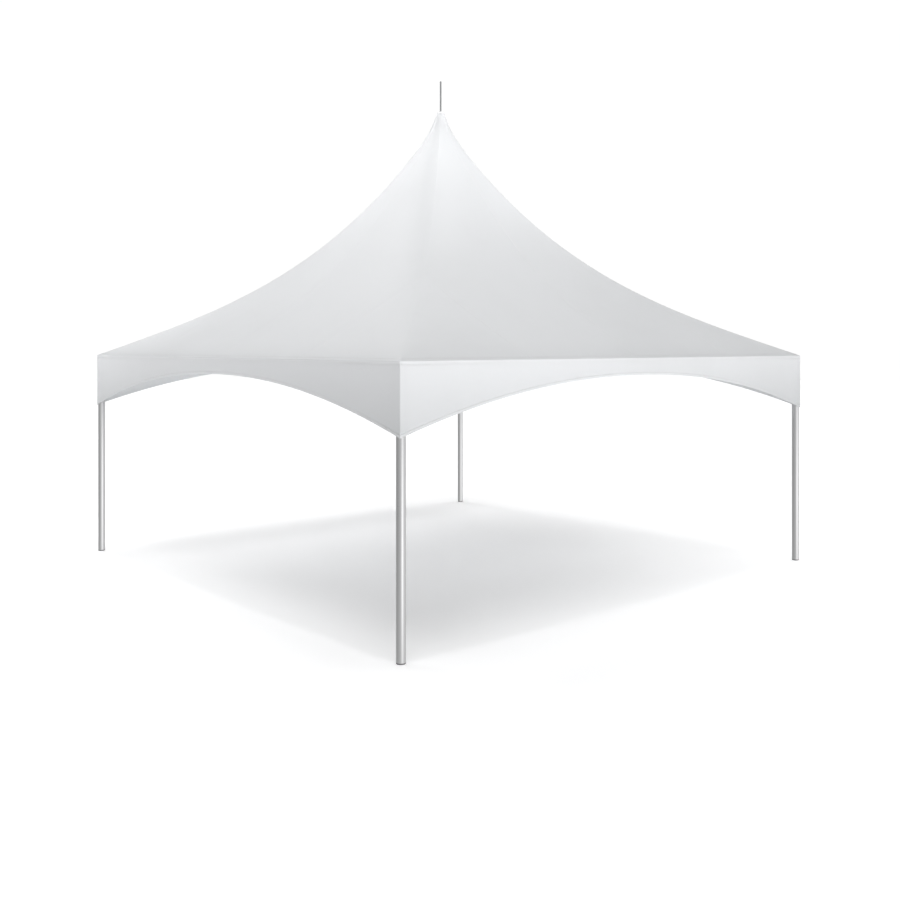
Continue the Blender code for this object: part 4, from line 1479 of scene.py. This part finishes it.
# %% [markdown]
# ## Ties
#
# The cloth is held down to each eave rail by webbing ties with steel buckles. They are made once,
# laid along the front rail by index, and turned to the other sides.

# %% Ties round the rails
STRAP = 38 * MM


def tie_rows_tree():
    """The given tie at even places along the front rail, and along the other three."""
    tree, given, outer = shape_tree("tie_rows", {"Count": 5, "Spacing": 1.15})
    middle = (given["Count"] - 1) * 0.5
    place = vector_of(tree, (index_in(tree) - middle) * given["Spacing"], -RING_HALF, RING_HEIGHT)
    row = copies(given["Geometry"], given["Count"], place)
    real = value_of(tree, "GeometryNodeRealizeInstances", {"Geometry": row})
    return end_tree(given, outer, on_four_sides(real))


def strap_mesh():
    """A webbing loop round the tube, with its loose end hanging from the buckle."""
    inner, outer = TUBE_RADIUS + 0.2 * MM, TUBE_RADIUS + 1.5 * MM
    loop = [(outer, 0), (outer, -STRAP / 2), (inner, -STRAP / 2), (inner, STRAP / 2),
            (outer, STRAP / 2), (outer, 0)]
    ring = along_x(turned("loop", softened(loop, 0.3 * MM, 1), 64))
    hanging = in_mm((2.6, 6), (2.2, -16), (-1, -38), (-6, -62), (-9, -92), (-9.5, -118))
    tail = [(outer + y, z) for y, z in hanging]
    tail += [(y + 1.3 * MM, z) for y, z in tail[::-1]]
    end = moved(plate("tail", tail, STRAP), about_z(90))
    chart = end.uv_layers.new(name="UVMap")
    for index, corner in enumerate(end.loops):
        point = end.vertices[corner.vertex_index].co
        chart.data[index].uv = (point.x, point.z)
    return joined("strap", [ring, bevelled("tail", end, 0.3 * MM, 1)])


def box_plate(name, across, low, high, thickness):
    """A plate with a rectangular outline, in millimetres."""
    outline = in_mm((-across, low), (across, low), (across, high), (-across, high))
    return plate(name, outline, thickness * MM)


def buckle_mesh():
    """A steel ladder buckle, standing on the inner side of the strap."""
    windows = [box_plate("window", 19.6, low, low + 7, 9) for low in (-9.5, 2.5)]
    ladder = cut("buckle", box_plate("buckle", 23, -14, 14, 2.4), windows)
    return moved(bevelled("buckle", ladder, 0.7 * MM),
                 Matrix.Translation((0, TUBE_RADIUS + 2.9 * MM, 0)))


TIE_ROWS = tie_rows_tree()
for name, start, finish, slot in (("rail_ties", strap_mesh(), WEBBING, "white_cloth"),
                                  ("rail_buckles", buckle_mesh(), ZINC, "galvanised_steel")):
    keep_piece(name, grown(name, TIE_ROWS, finish, start=start), finish)

# %% [markdown]
# ## Floor, sky and lamps
#
# The picture is a studio picture on white: the floor and the background run into one pure white,
# and only the soft shadow under the tent shows where the ground is. The sky is white to the camera.
# For everything else it is a sum of lobes, each with one strength as light and another in
# reflections, because the tent's faces are lit unevenly: the right one more than the left one, and
# the roof's left half more than its right. The narrow lobe puts the gleam on the legs.

# %% Floor
FLOOR_GLOW = 0.223
FLOOR_HALF = 60               # metres, far enough for its edge to lie out of sight
FLOOR_GAP = 0.5 * MM          # below the feet


def floor_finish():
    """Matt white paper that glows a little, so that its lit part reaches pure white."""
    material, tree, shader, dirt, _ = new_finish("studio_floor", 0.3, 3.0)
    feed(shader.inputs["Base Color"], between(dirt, (0.90, 0.90, 0.905), (0.91, 0.91, 0.912)))
    for label, value in {"Roughness": 0.95, "Specular IOR Level": 0.0,
                         "Emission Color": (1.0, 1.0, 1.0, 1.0),
                         "Emission Strength": FLOOR_GLOW}.items():
        shader.inputs[label].default_value = value
    return material


floor_shape = bmesh.new()
bmesh.ops.create_grid(floor_shape, x_segments=8, y_segments=8, size=FLOOR_HALF)
floor_mesh = moved(mesh_of("studio_floor", floor_shape), Matrix.Translation((0, 0, -FLOOR_GAP)))
floor_mesh.materials.append(floor_finish())
floor = bpy.data.objects.new("studio_floor", floor_mesh)
bpy.context.scene.collection.objects.link(floor)
floor.visible_glossy = False
print("floor is", floor.dimensions.x, "m wide")

# %% Sky
SEEN_SKY = 1.02               # a little over white, so that no noise shows in it


def towards(azimuth, elevation):
    """A direction as seen from the tent: 0 degrees is away from the camera, 90 to its right."""
    turn, lift = math.radians(azimuth), math.radians(elevation)
    level = math.cos(turn) * ahead + math.sin(turn) * aside
    return math.cos(lift) * level + Vector((0, 0, math.sin(lift)))


# Each lobe has a direction, a sharpness, its strength as light and its strength in reflections.
LOBES = {
    "left": (-aside, 2, 0.22, 0.38), "right": (aside, 2, 0.28, 0.80),
    "back": (ahead, 2, 0.22, 0.50), "front": (-ahead, 2, 0.40, 0.60),
    "above": (Vector((0, 0, 1)), 2, 0.05, 0.70), "below": (Vector((0, 0, -1)), 2, 0.0, 0.60),
    "gleam": (towards(142, -14), 12, 0.0, 1.08),
}


def build_sky():
    """A sky of lobes, pure white where the camera looks straight at it."""
    world = bpy.data.worlds.new("studio_sky")
    world.use_nodes = True
    tree = world.node_tree
    way_out = value_of(tree, "ShaderNodeTexCoord", output="Generated")
    path = add_node(tree, "ShaderNodeLightPath")
    glossy = Field(path.outputs["Is Glossy Ray"])
    total = 0.0
    for way, sharpness, light, mirrored in LOBES.values():
        lobe = way_out.vector("DOT_PRODUCT", way).maths("MAXIMUM", 0.0) ** sharpness
        total = lobe * (glossy * (mirrored - light) + light) + total
    tree.nodes.remove(tree.nodes["Background"])
    lit, seen = [value_of(tree, "ShaderNodeBackground", {"Color": (1, 1, 1, 1), "Strength": much})
                 for much in (total, SEEN_SKY)]
    feed(tree.nodes["World Output"].inputs["Surface"],
         mix_shaders(tree, Field(path.outputs["Is Camera Ray"]), lit, seen))
    bpy.context.scene.world = world


build_sky()
print("sky lobes:", list(LOBES))

# %% [markdown]
# Five far lamps before and behind the tent, and one straight above, give the roof its soft shades
# and the shadow its shape. Near panels brighten what those can't reach: the front valances from
# below, the left corner and the peak. Three more hang under the roof and soften the shadow.

# %% Lamps
def lamp(name, kind, place, target, power, size, height=None):
    """A lamp aimed at a point. The camera doesn't see it, nor does metal mirror a near one."""
    data = bpy.data.lights.new(name, kind)
    data.energy = power
    if kind == "SUN":
        data.angle = size
    else:
        data.shape = "RECTANGLE"
        data.size = size
        data.size_y = height
    made = bpy.data.objects.new(name, data)
    made.location = place
    made.rotation_euler = (Vector(target) - Vector(place)).to_track_quat("-Z", "Y").to_euler()
    made.visible_camera = False
    made.visible_glossy = kind == "SUN"
    bpy.context.scene.collection.objects.link(made)


FAR = 20                      # metres to a far lamp, of which only the direction counts
# Far soft lamps: azimuth, elevation, strength and how wide they look, in degrees.
FAR_LAMPS = {
    "high_front": (180, 70, 0.718, 30), "front": (180, 50, 0.245, 30),
    "behind": (0, 30, 0.35, 30), "behind_left": (-45, 50, 0.732, 30),
    "behind_right": (45, 70, 0.673, 30), "overhead": (0, 90, 0.254, 3),
}
# Near panels: place, target, watts, width and height.
PANELS = {
    "low_front": ((2.0, -9.0, 0.4), (0, -3, 2.2), 73.9, 6.0, 0.6),
    "low_corner": ((-3.0, -8.0, 0.3), (-1.5, -3, 2.2), 74.0, 3.0, 0.5),
    "far_left": ((-7.0, 7.0, 2.2), (-3, 3, 2.3), 93.0, 1.5, 1.5),
    "corner_left": ((-2.6, 2.5, 3.9), (-2.75, 2.4, 2.5), 2.5, 0.6, 0.6),
    "peak_front": ((-2.6, -2.6, 6.0), (0, 0, 4.9), 7.17, 0.8, 0.8),
    "peak_tip": ((-0.8, -0.8, 5.6), (0, 0, 5.35), 2.05, 0.3, 0.3),
    "peak_right": ((1.0, -1.6, 5.6), (0, 0, 5.0), 8.46, 0.5, 0.5),
    "peak_left": ((-1.6, 1.0, 5.6), (0, 0, 5.0), 6.87, 0.5, 0.5),
    "under_left": ((-1.8, 1.1, 1.5), (-1.8, 1.1, 0), 2.1, 1.2, 1.2),
    "under_right": ((2.0, -2.0, 1.5), (2.0, -2.0, 0), 4.85, 1.2, 1.2),
    "under_far": ((1.6, 1.6, 1.5), (1.6, 1.6, 0), 0.9, 1.2, 1.2),
}
for name, (azimuth, elevation, power, width) in FAR_LAMPS.items():
    lamp(name, "SUN", FAR * towards(azimuth, elevation), (0, 0, 0), power, math.radians(width))
for name, panel in PANELS.items():
    lamp(name, "AREA", *panel)
bpy.context.scene.view_settings.view_transform = "Standard"
print("lamps:", len(FAR_LAMPS), "far and", len(PANELS), "near")
